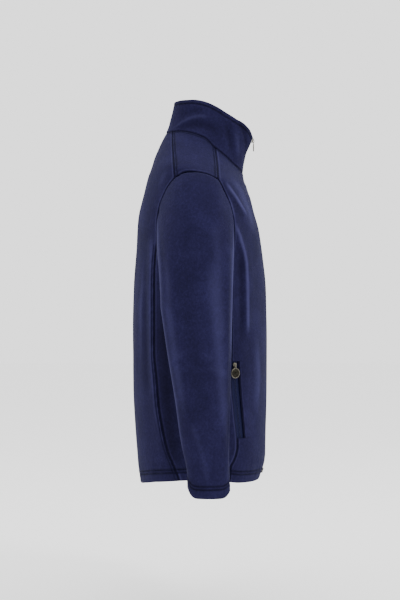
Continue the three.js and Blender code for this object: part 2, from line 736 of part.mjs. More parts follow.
// Frame on the body: x across, y out of the cloth, z up it
function frameOnBody(turn, level, upright) {
  const origin = bodyPoint(turn, level);
  const out = bodyNormal(turn, level);
  const up = bodyPoint(turn, level + 4).sub(bodyPoint(turn, level - 4)).normalize();
  if (upright) {
    up.set(0, 0, 1);
    out.setZ(0).normalize();
  }
  const across = new THREE.Vector3().crossVectors(out, up).normalize();
  up.crossVectors(across, out).normalize();
  const matrix = new THREE.Matrix4().makeBasis(across, out, up);
  return matrix.setPosition(origin);
}

function hingeAt(matrix, plateHigh) {
  return new THREE.Vector3(0, plateHigh + 1.4, -1.7).applyMatrix4(matrix);
}

// Material and mesh
const fleece = { colour: 0x24294a, roughness: 0.95, metalness: 0 };
const tapeCloth = { colour: 0x161a2e, roughness: 0.8, metalness: 0 };
const darkMetal = { colour: 0x6f6a5c, roughness: 0.35, metalness: 1 };
const jacket = new THREE.Group();
jacket.name = "zip_jacket";

function addPiece(name, geometry, look) {
  const material = new THREE.MeshStandardMaterial({
    color: look.colour,
    roughness: look.roughness,
    metalness: look.metalness,
  });
  material.name = name;
  const mesh = new THREE.Mesh(geometry, material);
  mesh.name = name;
  jacket.add(mesh);
}

function collarThicknessAt() {
  return collarThickness;
}

addPiece("front_right", panelGeometry(frontPlaces, bodyThickness), fleece);
addPiece("front_left", panelGeometry(mirroredPlaces(frontPlaces), bodyThickness), fleece);
addPiece("back", panelGeometry(backPlaces, bodyThickness), fleece);
addPiece("side_panel_right", panelGeometry(sidePlaces, bodyThickness), fleece);
addPiece("side_panel_left", panelGeometry(mirroredPlaces(sidePlaces), bodyThickness), fleece);
addPiece("shoulder_right", panelGeometry(shoulderPlaces, bodyThickness), fleece);
addPiece("shoulder_left", panelGeometry(mirroredPlaces(shoulderPlaces), bodyThickness), fleece);
addPiece("sleeve_right", sleeveGeometry(1), fleece);
addPiece("sleeve_left", sleeveGeometry(-1), fleece);
addPiece("collar", panelGeometry(collarPlaces, collarThicknessAt), fleece);
addPiece("front_zip", zipGeometry(), tapeCloth);

// Front zip hardware
const frontSliderLevel = 59;
const frontSliderFrame = frameOnBody(0, frontSliderLevel, false);
const frontPlate = { low: -0.3, high: 2.2 };
const frontSlider = sliderGeometry(frontPlate.low, frontPlate.high);
addPiece("front_slider", frontSlider.applyMatrix4(frontSliderFrame), darkMetal);
const frontHinge = hingeAt(frontSliderFrame, frontPlate.high);
const frontPullFrame = frameOnBody(0, frontSliderLevel, true).setPosition(frontHinge);
addPiece("front_pull", pullGeometry(frontDiscRadius).applyMatrix4(frontPullFrame), darkMetal);
const boxFrame = frameOnBody(0, -669, false);
addPiece("front_zip_box", block(-4.2, 4.2, -hemThickness, 0.8, -5.7, 4.6).applyMatrix4(boxFrame), darkMetal);

// Pocket zips
const pocketPlate = { low: 0.3 - pocketTapeDepth, high: 0.2 };
const sliderLevel = -449;
const sliderTurn = mix(lipAt(sliderLevel), frontSeamAt(sliderLevel), 0.5);
[
  ["right", 1],
  ["left", -1],
].forEach(([name, side]) => {
  addPiece("pocket_tape_" + name, pocketTapeGeometry(side), tapeCloth);
  const frame = frameOnBody(side * sliderTurn, sliderLevel, false);
  const slider = sliderGeometry(pocketPlate.low, pocketPlate.high);
  addPiece("pocket_slider_" + name, slider.applyMatrix4(frame), darkMetal);
  const hinge = hingeAt(frame, pocketPlate.high);
  const pullFrame = frame.clone().setPosition(hinge);
  addPiece("pocket_pull_" + name, pullGeometry(pocketDiscRadius).applyMatrix4(pullFrame), darkMetal);
});

export default jacket;
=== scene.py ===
import math
from contextlib import contextmanager
import bmesh
import bpy
import numpy as np
from mathutils import Matrix, Vector


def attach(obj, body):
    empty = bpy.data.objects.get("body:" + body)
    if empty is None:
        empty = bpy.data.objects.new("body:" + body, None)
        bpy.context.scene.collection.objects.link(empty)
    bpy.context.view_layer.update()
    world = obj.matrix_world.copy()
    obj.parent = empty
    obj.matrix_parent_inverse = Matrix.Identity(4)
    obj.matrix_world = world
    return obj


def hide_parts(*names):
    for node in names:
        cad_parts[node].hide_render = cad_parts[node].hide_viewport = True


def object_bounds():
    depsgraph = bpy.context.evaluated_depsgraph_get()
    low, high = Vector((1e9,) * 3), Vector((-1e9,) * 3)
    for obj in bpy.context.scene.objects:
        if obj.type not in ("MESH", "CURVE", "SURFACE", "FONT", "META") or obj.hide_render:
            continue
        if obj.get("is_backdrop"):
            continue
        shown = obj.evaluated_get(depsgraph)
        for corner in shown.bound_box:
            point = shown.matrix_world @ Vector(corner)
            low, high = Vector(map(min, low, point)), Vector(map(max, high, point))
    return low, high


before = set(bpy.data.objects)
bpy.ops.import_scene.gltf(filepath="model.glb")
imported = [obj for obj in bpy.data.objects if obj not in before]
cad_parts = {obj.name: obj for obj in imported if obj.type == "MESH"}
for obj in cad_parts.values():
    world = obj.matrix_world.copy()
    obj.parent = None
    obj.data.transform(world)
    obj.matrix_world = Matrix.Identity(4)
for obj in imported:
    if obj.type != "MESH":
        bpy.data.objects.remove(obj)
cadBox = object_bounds()
mm = 0.001
right, left = 1, -1  # the wearer's sides: right is -X
sides = {"right": right, "left": left}

print("frame loaded")


# Curves through a table's rows, smooth and without overshoot
def curveOf(xs, ys):
    order = np.argsort(xs)
    xs = np.asarray(xs, float)[order]
    ys = np.asarray(ys, float)[order]
    steps = np.diff(ys) / np.diff(xs)
    before, after = steps[:-1], steps[1:]
    total = np.where(np.abs(before + after) < 1e-12, 1, before + after)
    middle = np.where(before * after <= 0, 0, 2 * before * after / total)
    slopes = np.concatenate([[steps[0]], middle, [steps[-1]]])

    def at(x):
        x = np.clip(x, xs[0], xs[-1])
        k = np.clip(np.searchsorted(xs, x) - 1, 0, len(xs) - 2)
        width = xs[k + 1] - xs[k]
        u = (x - xs[k]) / width
        v = 1 - u
        ends = v * v * (1 + 2 * u) * ys[k] + u * u * (1 + 2 * v) * ys[k + 1]
        return ends + width * u * v * (v * slopes[k] - u * slopes[k + 1])

    return at


def tableOf(rows):
    columns = list(zip(*rows))
    return [curveOf(columns[0], column) for column in columns[1:]]


def mix(a, b, u):
    return a + (b - a) * u


def smoothStep(low, high, x):
    u = np.clip((x - low) / (high - low), 0, 1)
    return u * u * (3 - 2 * u)


# 1 at a distance of 0, falling off smoothly
def bell(distance, spread):
    return np.exp(-((distance / spread) ** 2))


def unit(v):
    return v / np.maximum(np.linalg.norm(v, axis=-1, keepdims=True), 1e-12)


# The body's form, in millimetres, from the same rings as the solids
body = {
    # level at the wearer's side, half width, centre y, half depth, squareness, tilt, bow
    "rings": [
        (-680, 212, 0, 122, 2.4, -5, 13),
        (-640, 214, -2.7, 130.2, 2.4, -4, 11),
        (-580, 214, -1.2, 133.3, 2.4, -3, 8),
        (-500, 214, -0.2, 136.2, 2.4, -2, 5),
        (-400, 216, 0, 137, 2.4, 0, 3),
        (-300, 218, 0.4, 134.7, 2.4, 3, 2),
        (-230, 223, 1.2, 128.7, 2.4, 8, 3),
        (-170, 228, 2.7, 123.2, 2.4, 14, 5),
        (-120, 233, 2, 111, 2.35, 19, 7),
        (-90, 236, 0.8, 103.7, 2.3, 23, 9),
        (-78, 235, 0, 99.5, 2.3, 25, 10),
        (-68, 222, -0.5, 96.5, 2.3, 26.5, 11),
        (-58, 200, -1, 94, 2.3, 28, 12),
        (-40, 160, -2.5, 88.5, 2.25, 32, 16),
        (-20, 115, -5.5, 83.5, 2.2, 36, 21),
        (-8, 91, -7.8, 80.8, 2.15, 38, 25),
        (0, 79, -9, 79, 2.1, 39, 27),
        (16, 74, -13.2, 76.8, 2.1, 38, 26),
        (32, 71, -17.3, 76.8, 2.1, 37.5, 25.5),
        (48, 69, -23, 78.5, 2.1, 37, 25),
        (64, 68, -28.3, 80.8, 2.1, 36, 24),
    ],
    # how far the collar's top edge and the hem stand above their rings, from the middle of the back to the zip
    "collarRise": [
        (-1, 0), (-0.7, 0), (-0.45, 1.5), (-0.2, 1.8), (0.05, 1),
        (0.29, 0), (0.55, 2.2), (0.81, 7.5), (0.9, 7.5), (1, 0),
    ],
    "hemRise": [(-1, 0), (-0.9, 5.5), (-0.7, 9), (-0.36, 9), (0, 7.5), (0.4, 4), (0.65, 0.5), (1, 0)],
    # the neck seam runs a little lower between the shoulder and the zip
    "neckDip": [(-1, 0), (0, 0), (0.28, -7.5), (0.72, -7), (1, -2)],
    "neckDipReach": 24,
    "hemLevel": -680,
    "hemRiseFrom": -600,
    "collarTop": 64,
    "collarRadius": 74,
    "clothThickness": 2.4,
    "hemThickness": 4.2,
    "collarThickness": 3.9,
    "frontEdge": 5,
    "fineCrease": 9,  # folds narrower than this run out at their ends and get a painted highlight on their crests and painted shade in their troughs
    # soft folds seen from the wearer's side: side, height, spread, then y and z along each one
    "folds": [
        (right, 4.5, 11, [(-66, -168), (-86, -225), (-93, -262), (-95, -303), (-93, -370)]),
        (right, 2.5, 10, [(-50, -96), (-84, -150), (-98, -175)]),
        (right, 3, 10, [(94, -215), (97, -286), (95, -430), (88, -540), (74, -610)]),
        (left, 4, 12, [(-68, -176), (-88, -235), (-94, -272), (-94, -318), (-90, -390)]),
        (left, 2.5, 10, [(-52, -100), (-82, -148), (-97, -178)]),
        (left, 3, 10, [(93, -220), (97, -300), (94, -440), (86, -548), (73, -606)]),
        # finer creases and the troughs beside them
        (right, 1.6, 3, [(-66, -168), (-78, -197), (-87.5, -229), (-91.5, -250), (-93.5, -302), (-94.5, -392)]),
        (right, -3.2, 6, [(-70, -200), (-78, -236), (-80, -290), (-80, -350), (-80, -410)]),
        (right, 1.6, 3, [(-46, -90), (-70, -121), (-89.5, -151), (-95, -164)]),
        (right, -2, 5.5, [(-54, -112), (-76, -146), (-88, -176)]),
        (right, -1.4, 8, [(-104, -210), (-112, -270), (-114, -340)]),
        (right, 1.5, 8, [(-112, -380), (-116, -470), (-112, -560)]),
        (right, -1.3, 9, [(-98, -420), (-103, -500), (-104, -590)]),
        (right, -1.8, 7, [(103, -200), (107, -300), (105, -420), (98, -530)]),
        (right, 1.4, 8, [(112, -250), (116, -350), (113, -470)]),
        (right, 1.3, 5, [(60, -60), (72, -84), (84, -112)]),
        (left, 2, 4.5, [(-69, -180), (-83, -216), (-92, -258), (-93, -305)]),
        (left, -2.2, 7, [(-74, -222), (-80, -275), (-81, -345)]),
        (left, 1.6, 4.5, [(-49, -90), (-68, -120), (-90, -152)]),
        (left, -1.5, 8, [(-106, -230), (-112, -300), (-112, -380)]),
        (left, 1.4, 9, [(-110, -400), (-115, -480), (-113, -560)]),
        (left, -1.7, 7, [(102, -210), (107, -320), (104, -450)]),
        (left, 1.4, 5, [(58, -58), (70, -82), (83, -114)]),
        (
            right, 1.6, 5,
            [(94, -190), (96, -265), (97, -325), (97, -385), (93, -475), (85, -540), (71, -600), (60, -630)],
        ),
        (left, 1.5, 5.5, [(93, -200), (96, -280), (97, -370), (92, -480), (83, -545), (68, -606)]),
    ],
    # painted highlight where more than 0 and painted shade where less, among them a painted shadow on the side panel
    # under the sleeve: side, how much, spread, y and z along it
    "paintedLightMarks": [
        (right, 0.45, 13, [(-56, -78), (-80, -108), (-98, -150), (-110, -200)]),
        (right, 0.5, 3.4, [(-51, -116), (-61, -140), (-68, -168)]),
        (right, -0.75, 16, [(70, -320), (67, -480), (57, -590), (40, -668)]),
        (right, -0.35, 8, [(110, -290), (113, -400), (108, -520)]),
        (left, 0.4, 13, [(-54, -80), (-82, -112), (-99, -155)]),
        (left, -0.65, 16, [(70, -330), (67, -470), (56, -600)]),
        (left, -0.3, 8, [(110, -300), (112, -420), (106, -530)]),
    ],
}

# Seams in the side view, y front to back and z height, and the armhole's four stretches
seams = {
    "backSide": [
        (84.5, -215), (88, -260), (89, -312), (89, -423), (84, -480),
        (80, -528), (72, -577), (62, -618), (49, -649), (37, -682),
    ],
    "frontSide": [
        (-63, -232), (-62, -290), (-60, -439), (-68, -548), (-72, -585),
        (-73, -606), (-68, -631), (-60, -645), (-56, -684),
    ],
    "pocketLip": [(-74.5, -436), (-77.5, -487), (-88, -600)],
    "armholeFront": [(-63, -232), (-66, -200), (-65, -169), (-59.5, -140), (-48, -114), (-35.5, -89)],
    "armholeTop": [(-35.5, -89), (-12, -78), (9, -75), (28, -76), (49, -86)],
    "armholeBack": [(49, -86), (60, -99), (71, -119), (79.5, -142), (84, -172), (84.5, -215)],
    "armholeUnder": [(84.5, -215), (75, -248), (50, -283), (10, -299), (-28, -288), (-52, -262), (-63, -232)],
    "shoulderFront": [(-35.5, -89), (-34.5, -58), (-31, -21)],
    "shoulderBack": [(49, -86), (53, -42), (57, 13)],
    "pocketBottom": -592,
    "pocketTop": -441,
}

ringCurves = tableOf(body["rings"])
riseCurve = tableOf(body["collarRise"])[0]
hemRiseCurve = tableOf(body["hemRise"])[0]
neckDipCurve = tableOf(body["neckDip"])[0]


def distanceToPath(y, z, path):
    nearest = np.full(np.shape(y), 1e9)
    for (y0, z0), (y1, z1) in zip(path, path[1:]):
        run = (y1 - y0) ** 2 + (z1 - z0) ** 2
        u = np.clip(((y - y0) * (y1 - y0) + (z - z0) * (z1 - z0)) / run, 0, 1)
        nearest = np.minimum(nearest, np.hypot(y - mix(y0, y1, u), z - mix(z0, z1, u)))
    return nearest


# The part of a crease's height that is left near its two ends, where it runs out to 0
def taper(y, z, path, reach):
    fade = 1
    for endY, endZ in (path[0], path[-1]):
        fade = fade * (1 - np.exp(-((y - endY) ** 2 + (z - endZ) ** 2) / reach**2))
    return fade


# Creases of the collar: side, height, spread, then turn from the zip in radians and level along each one
collarCreases = [
    (right, 2, 3.6, [(2.5, 6), (2.3, 16), (2.08, 26), (1.85, 34), (1.6, 38)]),
    (right, -2.2, 7, [(2.4, 0), (2.0, 12), (1.6, 22), (1.2, 26)]),
    (right, -1.2, 5, [(2.5, 28), (2.1, 40), (1.7, 50)]),
    (right, -2.6, 6, [(1.15, 52), (0.95, 30), (0.8, 6)]),
    (right, 1.8, 5, [(0.86, 50), (0.7, 30), (0.55, 10)]),
    (right, -2.4, 4.5, [(0.9, 63), (0.6, 54), (0.38, 44), (0.2, 36)]),
    (right, 1.2, 5, [(0.5, 30), (0.36, 18), (0.2, 8)]),
    (left, -1.4, 6, [(2.5, 18), (2.0, 30), (1.55, 34)]),
    (left, -1.8, 5, [(1.1, 56), (0.8, 36), (0.6, 12)]),
    (left, 1.2, 5, [(0.9, 58), (0.66, 38), (0.45, 18)]),
]


def aboutZip(turn):
    return np.abs((turn + math.pi) % (2 * math.pi) - math.pi)


# How near a place is to each of the collar's creases, measured along the cloth
def creasesAt(turn, level):
    along = aboutZip(turn) * body["collarRadius"]
    for side, tall, spread, path in collarCreases:
        way = [(place * body["collarRadius"], high) for place, high in path]
        near = bell(distanceToPath(along, level, way), spread)
        yield side, tall, near * taper(along, level, way, 2 * spread)


# Painted highlight on the crests and painted shade in the troughs of the finer creases, and the broad painted light
# and shade marks
def paintedLightPaths():
    for side, tall, spread, path in body["folds"]:
        if spread < body["fineCrease"]:
            strength = 0.6 if spread < 4 else 0.3 if tall > 0 else 0.14
            yield side, strength * tall, spread, 5 * spread, path
    for side, weight, spread, path in body["paintedLightMarks"]:
        yield side, weight, spread, min(4 * spread, 26), path


def paintedLightAt(turn, level):
    y, z = bodyPoint(turn, level)[..., 1], bodyPoint(turn, level)[..., 2]
    side = np.where(np.sin(turn) >= 0, right, left)
    paintedLight = np.zeros(np.shape(turn))
    # a mark keeps its width along the cloth where that turns to the front or back
    facing = np.clip(np.abs(bodyNormal(turn, level)[..., 0]) / 0.6, 0.35, 1)
    for markSide, weight, spread, reach, path in paintedLightPaths():
        near = bell(distanceToPath(y, z, path), spread * facing) * taper(y, z, path, reach)
        paintedLight += np.where(side == markSide, weight * near, 0)
    # painted highlight on the collar's crease crests, painted shade in its troughs
    for creaseSide, tall, near in creasesAt(turn, level):
        paintedLight += np.where(side == creaseSide, (0.13 if tall > 0 else 0.2) * tall * near, 0)
    return paintedLight


def foldAt(turn, level, y, z):
    height = np.zeros(np.shape(y))
    side = np.where(np.sin(turn) >= 0, right, left)
    for foldSide, tall, spread, path in body["folds"]:
        fade = taper(y, z, path, 5 * spread) if spread < body["fineCrease"] else 1
        height += np.where(side == foldSide, tall * fade * bell(distanceToPath(y, z, path), spread), 0)
    for creaseSide, tall, near in creasesAt(turn, level):
        height += np.where(side == creaseSide, tall * near, 0)
    about = aboutZip(turn)
    # small gathers above the hem and a slow unevenness everywhere
    gather = bell(level - body["hemLevel"] - 26, 16)
    height += 0.45 * gather * np.sin(about * 61 + 2 * np.sin(about * 17)) * (0.4 + 0.6 * np.sin(about * 5.3) ** 2)
    slow = np.sin(z * 0.021 + about * 3.1) * np.sin(about * 6.7 + z * 0.004 + side)
    height += 0.7 * slow * smoothStep(10, -60, level)
    # the left front rolls a little past the zip near the hem
    bulge = bell(turn + 0.3, 0.2) * smoothStep(-560, -650, level)
    return height + 3.5 * bulge


def bodyPoint(turn, level):
    turn, level = np.broadcast_arrays(np.asarray(turn, float), np.asarray(level, float))
    halfWidth, centreY, halfDepth, power, tilt, bow = [curve(level) for curve in ringCurves]
    cosine, sine = np.cos(turn), np.sin(turn)
    flat = np.abs(cosine / halfDepth) ** power + np.abs(sine / halfWidth) ** power
    radius = flat ** (-1 / power)
    forward = radius * cosine / halfDepth
    lift = riseCurve(forward) * smoothStep(0, body["collarTop"], level)
    lift = lift + hemRiseCurve(forward) * smoothStep(body["hemRiseFrom"], body["hemLevel"], level)
    lift = lift + neckDipCurve(forward) * bell(level, body["neckDipReach"])
    y = centreY - radius * cosine
    z = level - tilt * forward - bow * forward * forward + lift
    fold = foldAt(turn, level, y, z)
    return np.stack([-(radius + fold) * sine, y - fold * cosine, z], axis=-1)


def bodyNormal(turn, level):
    across = bodyPoint(turn + 0.004, level) - bodyPoint(turn - 0.004, level)
    up = bodyPoint(turn, level + 0.8) - bodyPoint(turn, level - 0.8)
    return unit(np.cross(up, across))


# Places on the right side that the side view shows at y and z
def locate(y, z):
    y, z = np.asarray(y, float), np.asarray(z, float)
    level = z.copy()
    for _ in range(40):
        low, high = np.full(y.shape, 0.02), np.full(y.shape, math.pi - 0.02)
        for _ in range(26):
            turn = (low + high) / 2
            short = bodyPoint(turn, level)[..., 1] < y
            low, high = np.where(short, turn, low), np.where(short, high, turn)
        level = level + 0.8 * (z - bodyPoint(turn, level)[..., 2])
    return turn, level


seamSamples = np.linspace(0, 1, 37)


# Every seam's samples are found on the form in one go
def seamPlaces():
    names = [name for name in seams if isinstance(seams[name], list)]
    ys, zs = [], []
    for name in names:
        path = np.array(seams[name], float)
        lengths = np.concatenate([[0], np.cumsum(np.hypot(*np.diff(path, axis=0).T))])
        ys.append(curveOf(lengths / lengths[-1], path[:, 0])(seamSamples))
        zs.append(curveOf(lengths / lengths[-1], path[:, 1])(seamSamples))
    turn, level = locate(np.array(ys), np.array(zs))
    return {name: (turn[i], level[i]) for i, name in enumerate(names)}


placesOf = seamPlaces()


def seamOverLevel(name):
    turn, level = placesOf[name]
    return curveOf(level, turn)


def branchAt(name):
    turn, level = placesOf[name]
    return curveOf(seamSamples, turn), curveOf(seamSamples, level)


frontSeamAt = seamOverLevel("frontSide")
backSeamAt = seamOverLevel("backSide")
lipAt = seamOverLevel("pocketLip")
armhole = {name: branchAt("armhole" + name) for name in ("Front", "Top", "Back", "Under")}


# A shoulder line, whose last stretch runs on up to the neck seam
def shoulderLine(name):
    turnCurve, levelCurve = branchAt("shoulder" + name)
    return turnCurve, lambda s: np.where(s > 0.8, levelCurve(0.8) * (1 - s) / 0.2, levelCurve(s))


shoulderLines = {name: shoulderLine(name) for name in ("Front", "Back")}


def zipTurn(level, x):
    return np.arcsin(x / ringCurves[2](level))


print("form and seams worked out")


# Shells: an outer grid of points, its normals, and offsets inwards for the two faces
def meshObject(name, points, faces, uvs=None, paintedLight=None):
    mesh = bpy.data.meshes.new(name)
    mesh.vertices.add(len(points))
    mesh.vertices.foreach_set("co", np.asarray(points, np.float32).ravel())
    faces = np.asarray(faces, np.int32)
    mesh.loops.add(faces.size)
    mesh.loops.foreach_set("vertex_index", faces.ravel())
    mesh.polygons.add(len(faces))
    mesh.polygons.foreach_set("loop_start", np.arange(0, faces.size, faces.shape[1], dtype=np.int32))
    mesh.polygons.foreach_set("use_smooth", np.ones(len(faces), bool))
    mesh.update(calc_edges=True)
    if uvs is not None:
        layer = mesh.uv_layers.new(name="cloth")
        layer.data.foreach_set("uv", np.asarray(uvs, np.float32)[faces.ravel()].ravel())
    # painted highlight and painted shade for the fleece's colour, one value per point
    if paintedLight is not None:
        layer = mesh.attributes.new("paintedLight", "FLOAT", "POINT")
        layer.data.foreach_set("value", np.clip(paintedLight, -1, 1).astype(np.float32).ravel())
    mesh.validate()
    thing = bpy.data.objects.new(name, mesh)
    bpy.context.collection.objects.link(thing)
    return thing


def gridShell(name, outer, inner, uv, closedRound=False, paintedLight=None):
    rows, columns = outer.shape[:2]
    ids = np.arange(rows * columns).reshape(rows, columns)
    if closedRound:
        ids = np.concatenate([ids, ids[:, :1]], axis=1)
    under = ids + rows * columns
    quads = lambda a, b, c, d: np.stack([a.ravel(), b.ravel(), c.ravel(), d.ravel()], axis=1)
    faces = [
        quads(ids[:-1, :-1], ids[:-1, 1:], ids[1:, 1:], ids[1:, :-1]),
        quads(under[:-1, :-1], under[1:, :-1], under[1:, 1:], under[:-1, 1:]),
        quads(ids[0, :-1], under[0, :-1], under[0, 1:], ids[0, 1:]),
        quads(ids[-1, :-1], ids[-1, 1:], under[-1, 1:], under[-1, :-1]),
    ]
    if not closedRound:
        faces.append(quads(ids[:-1, 0], ids[1:, 0], under[1:, 0], under[:-1, 0]))
        faces.append(quads(ids[:-1, -1], under[:-1, -1], under[1:, -1], ids[1:, -1]))
    faces = np.concatenate(faces)
    points = np.concatenate([outer.reshape(-1, 3), inner.reshape(-1, 3)]) * mm
    a, b, c = points[faces[:, 0]], points[faces[:, 1]], points[faces[:, 2]]
    d = points[faces[:, 3]]
    volume = (a * np.cross(b, c)).sum() + (a * np.cross(c, d)).sum()
    if volume < 0:
        faces = faces[:, ::-1]
    # the inner face gets no painted highlight or shade
    if paintedLight is not None:
        paintedLight = np.concatenate([paintedLight.ravel(), 0 * paintedLight.ravel()])
    return meshObject(name, points, faces, np.concatenate([uv.reshape(-1, 2)] * 2) * mm, paintedLight)


def alongRows(points):
    steps = np.linalg.norm(np.diff(points, axis=1), axis=-1)
    return np.concatenate([np.zeros((len(points), 1)), np.cumsum(steps, axis=1)], axis=1)


def edgeDistances(points):
    across = alongRows(points)
    up = alongRows(points.transpose(1, 0, 2)).T
    return across, across[:, -1:] - across, up, up[-1:] - up


# How the cloth turns in at a seam, the shallow channel that a row of stitches pulls, and where the rows lie
edges = {
    "rollDepth": 1.3,
    "rollWidth": 2.2,
    "channelDepth": 0.85,
    "channelWidth": 1.2,
    "puff": 0.5,
    "doubleRow": [2, 7],
    "zipRow": [6],
    "hemRows": [17.2, 23.4],
    "sideRow": [2],
    "pocketRow": [2.2],
    "neckRow": [5],
    "collarRow": [8],
    "hemTurned": 24,
}


def seamRoll(distance):
    return edges["rollDepth"] * bell(distance, edges["rollWidth"])


# Painted highlight just behind a seam's roll, and painted shade in the roll and along a row of stitches
seamPaintedLightSizes = {"litAt": 4, "litWidth": 1.6, "rollShade": 0.95, "rollWidth": 1.9, "rowShade": 1.15, "rowWidth": 1.6}


def seamPaintedLight(distance, light):
    lit = light * bell(distance - seamPaintedLightSizes["litAt"], seamPaintedLightSizes["litWidth"])
    return lit - seamPaintedLightSizes["rollShade"] * bell(distance, seamPaintedLightSizes["rollWidth"])


def rowPaintedShade(distance, places):
    return -seamPaintedLightSizes["rowShade"] * sum(bell(distance - place, seamPaintedLightSizes["rowWidth"]) for place in places)


def channel(distance, places):
    depth = np.zeros(distance.shape)
    for place in places:
        depth += edges["channelDepth"] * bell(distance - place, edges["channelWidth"])
    if len(places) == 2:
        middle, reach = (places[0] + places[1]) / 2, (places[1] - places[0]) / 3
        depth -= edges["puff"] * bell(distance - middle, reach)
    return depth


def turnedEdge(distance, half):
    reach = np.clip(1 - distance / half, 0, 1)
    return half * (1 - np.sqrt(1 - 0.97 * reach * reach))


# Samples across a row: close together by the two edges, even between them
nearSeam = [0, 0.7, 1.4, 2.1, 3, 4.2, 5.6, 7, 8.4, 10, 12.5, 16]
nearHem = [0, 0.5, 1.1, 1.9, 3, 5, 8, 11.5, 14.4, 16, 17.2, 18.4, 20.2, 22, 23.4, 24.8, 26.6, 30]


def spacedAcross(width, middleCount):
    near = np.array(nearSeam) * min(1, width / 70)
    inner = np.linspace(near[-1], width - near[-1], middleCount + 2)[1:-1]
    return np.concatenate([near, inner, (width - near)[::-1]])


# A panel's grid: place(row, v) gives the right one's turn and level, with v running from one edge to the other
def panelGrid(place, rows, middleCount, side=right):
    rows = np.asarray(rows, float)[:, None]
    dense = np.linspace(0, 1, 150)[None, :]
    turn, level = place(rows, dense)
    lengths = alongRows(bodyPoint(side * turn, level))
    v = np.empty((len(rows), len(nearSeam) * 2 + middleCount))
    for i, run in enumerate(lengths):
        v[i] = np.interp(spacedAcross(run[-1], middleCount), run, dense[0])
    turn, level = place(rows, v)
    return np.broadcast_arrays(side * turn, level)


def hemmed(level):
    top = body["hemLevel"] + edges["hemTurned"]
    return mix(body["clothThickness"], body["hemThickness"], smoothStep(top + 1, top - 1, level))


# Sewn edges roll in, turned edges are rounded, channels are (edge, distances, how much at each place)
def clothShell(name, turn, level, thickness, sewn=(), turned=(), channels=()):
    points, normals = bodyPoint(turn, level), bodyNormal(turn, level)
    distances = dict(zip(("start", "end", "bottom", "top"), edgeDistances(points)))
    thick = np.broadcast_to(thickness, level.shape)
    down = sum(seamRoll(distances[edge]) for edge in sewn) + np.zeros(level.shape)
    light = {"start": 0.4, "end": 0.4, "bottom": 0.1, "top": 0.3}  # how strong the painted highlight is just behind each edge's seam
    paintedLight = paintedLightAt(turn, level) + sum(seamPaintedLight(distances[edge], light[edge]) for edge in sewn)
    # each row of stitches pulls a channel, with painted shade along it
    for edge, places, weight in channels:
        uneven = 1 + 0.25 * np.sin(0.31 * level + 2 * np.sin(0.07 * level) + turn * 31)
        down = down + weight * uneven * channel(distances[edge], places)
        paintedLight = paintedLight + weight * uneven * rowPaintedShade(distances[edge], places)
    # a painted highlight along the turned edges at the zip
    paintedLight += sum(0.5 * bell(distances[edge], 2) for edge in turned if edge in ("start", "end"))
    closing = sum(turnedEdge(distances[edge], thick / 2) for edge in turned) + np.zeros(level.shape)
    closing = np.minimum(closing, 0.42 * thick)
    outer = points - normals * (down + closing)[..., None]
    inner = points - normals * (thick - closing)[..., None]
    uv = np.stack([distances["start"], distances["bottom"]], axis=-1)
    made = gridShell(name, outer, inner, uv, paintedLight=paintedLight)
    return {"object": made, "outer": outer, "normals": normals, "distances": distances}


# A side edge as turn over level, from the hem up the side seam, the armhole and the shoulder
def edgeUp(seamAt, branch, shoulder, flipped):
    samples = np.linspace(0, 1, 41)
    up = samples[::-1] if flipped else samples
    branchTurn, branchLevel = branch[0](up), branch[1](up)
    shoulderTurn, shoulderLevel = shoulder[0](samples), shoulder[1](samples)
    corner = branchLevel[0], branchLevel[-1]

    def at(level):
        onBranch = np.interp(level, branchLevel, branchTurn)
        onShoulder = np.interp(level, shoulderLevel, shoulderTurn)
        return np.where(level <= corner[0], seamAt(level), np.where(level <= corner[1], onBranch, onShoulder))

    return at, corner


frontEdgeAt, frontCorners = edgeUp(frontSeamAt, armhole["Front"], shoulderLines["Front"], False)
backEdgeAt, backCorners = edgeUp(backSeamAt, armhole["Back"], shoulderLines["Back"], True)

hemRows = [body["hemLevel"] + d for d in nearHem]
middleRows = list(np.arange(-646, -100, 4.4))
upperRows = list(np.arange(-100, -9, 3))
neckRows = [-8.4, -7, -5.6, -4.2, -3, -2.1, -1.4, -0.7, -0.12]


def withRows(*more):
    rows = np.array(hemRows + middleRows + upperRows + neckRows)
    for level in more:
        rows = rows[np.abs(rows - level) > 1.4]
    return np.sort(np.concatenate([rows, more]))


# Fronts, from the zip round to the side seam, with the pocket's notch in that edge
def frontPlace(level, v):
    inNotch = (level > seams["pocketBottom"] + 0.2) & (level < seams["pocketTop"] - 0.2)
    end = np.where(inNotch, lipAt(level), frontEdgeAt(level))
    return mix(zipTurn(level, body["frontEdge"]), end, v), level + 0 * v


def frontPanel(name, side):
    low, high = seams["pocketBottom"], seams["pocketTop"]
    rows = withRows(low, low + 0.5, high - 0.5, high, *frontCorners)
    turn, level = panelGrid(frontPlace, rows, 84, side)
    seamRows = smoothStep(low - 4, low, level) * smoothStep(high + 4, high, level)
    plain = smoothStep(frontCorners[0], frontCorners[0] - 12, level) * (1 - seamRows)
    channels = [
        ("start", edges["zipRow"], 1),
        ("bottom", edges["hemRows"], 1),
        ("end", edges["sideRow"], plain),
        ("end", edges["pocketRow"], seamRows),
        ("top", edges["neckRow"], 1),
    ]
    return clothShell(name, turn, level, hemmed(level), ["end", "top"], ["start", "bottom"], channels)


def backPlace(level, v):
    edge = backEdgeAt(level)
    return mix(edge, 2 * math.pi - edge, v), level + 0 * v


def backPanel():
    turn, level = panelGrid(backPlace, withRows(*backCorners), 96)
    low = smoothStep(backCorners[0] + 2, backCorners[0] - 6, level)
    channels = [
        ("start", edges["doubleRow"], low),
        ("end", edges["doubleRow"], low),
        ("bottom", edges["hemRows"], 1),
        ("top", edges["neckRow"], 1),
    ]
    return clothShell("fleeceBack", turn, level, hemmed(level), ["start", "end", "top"], ["bottom"], channels)


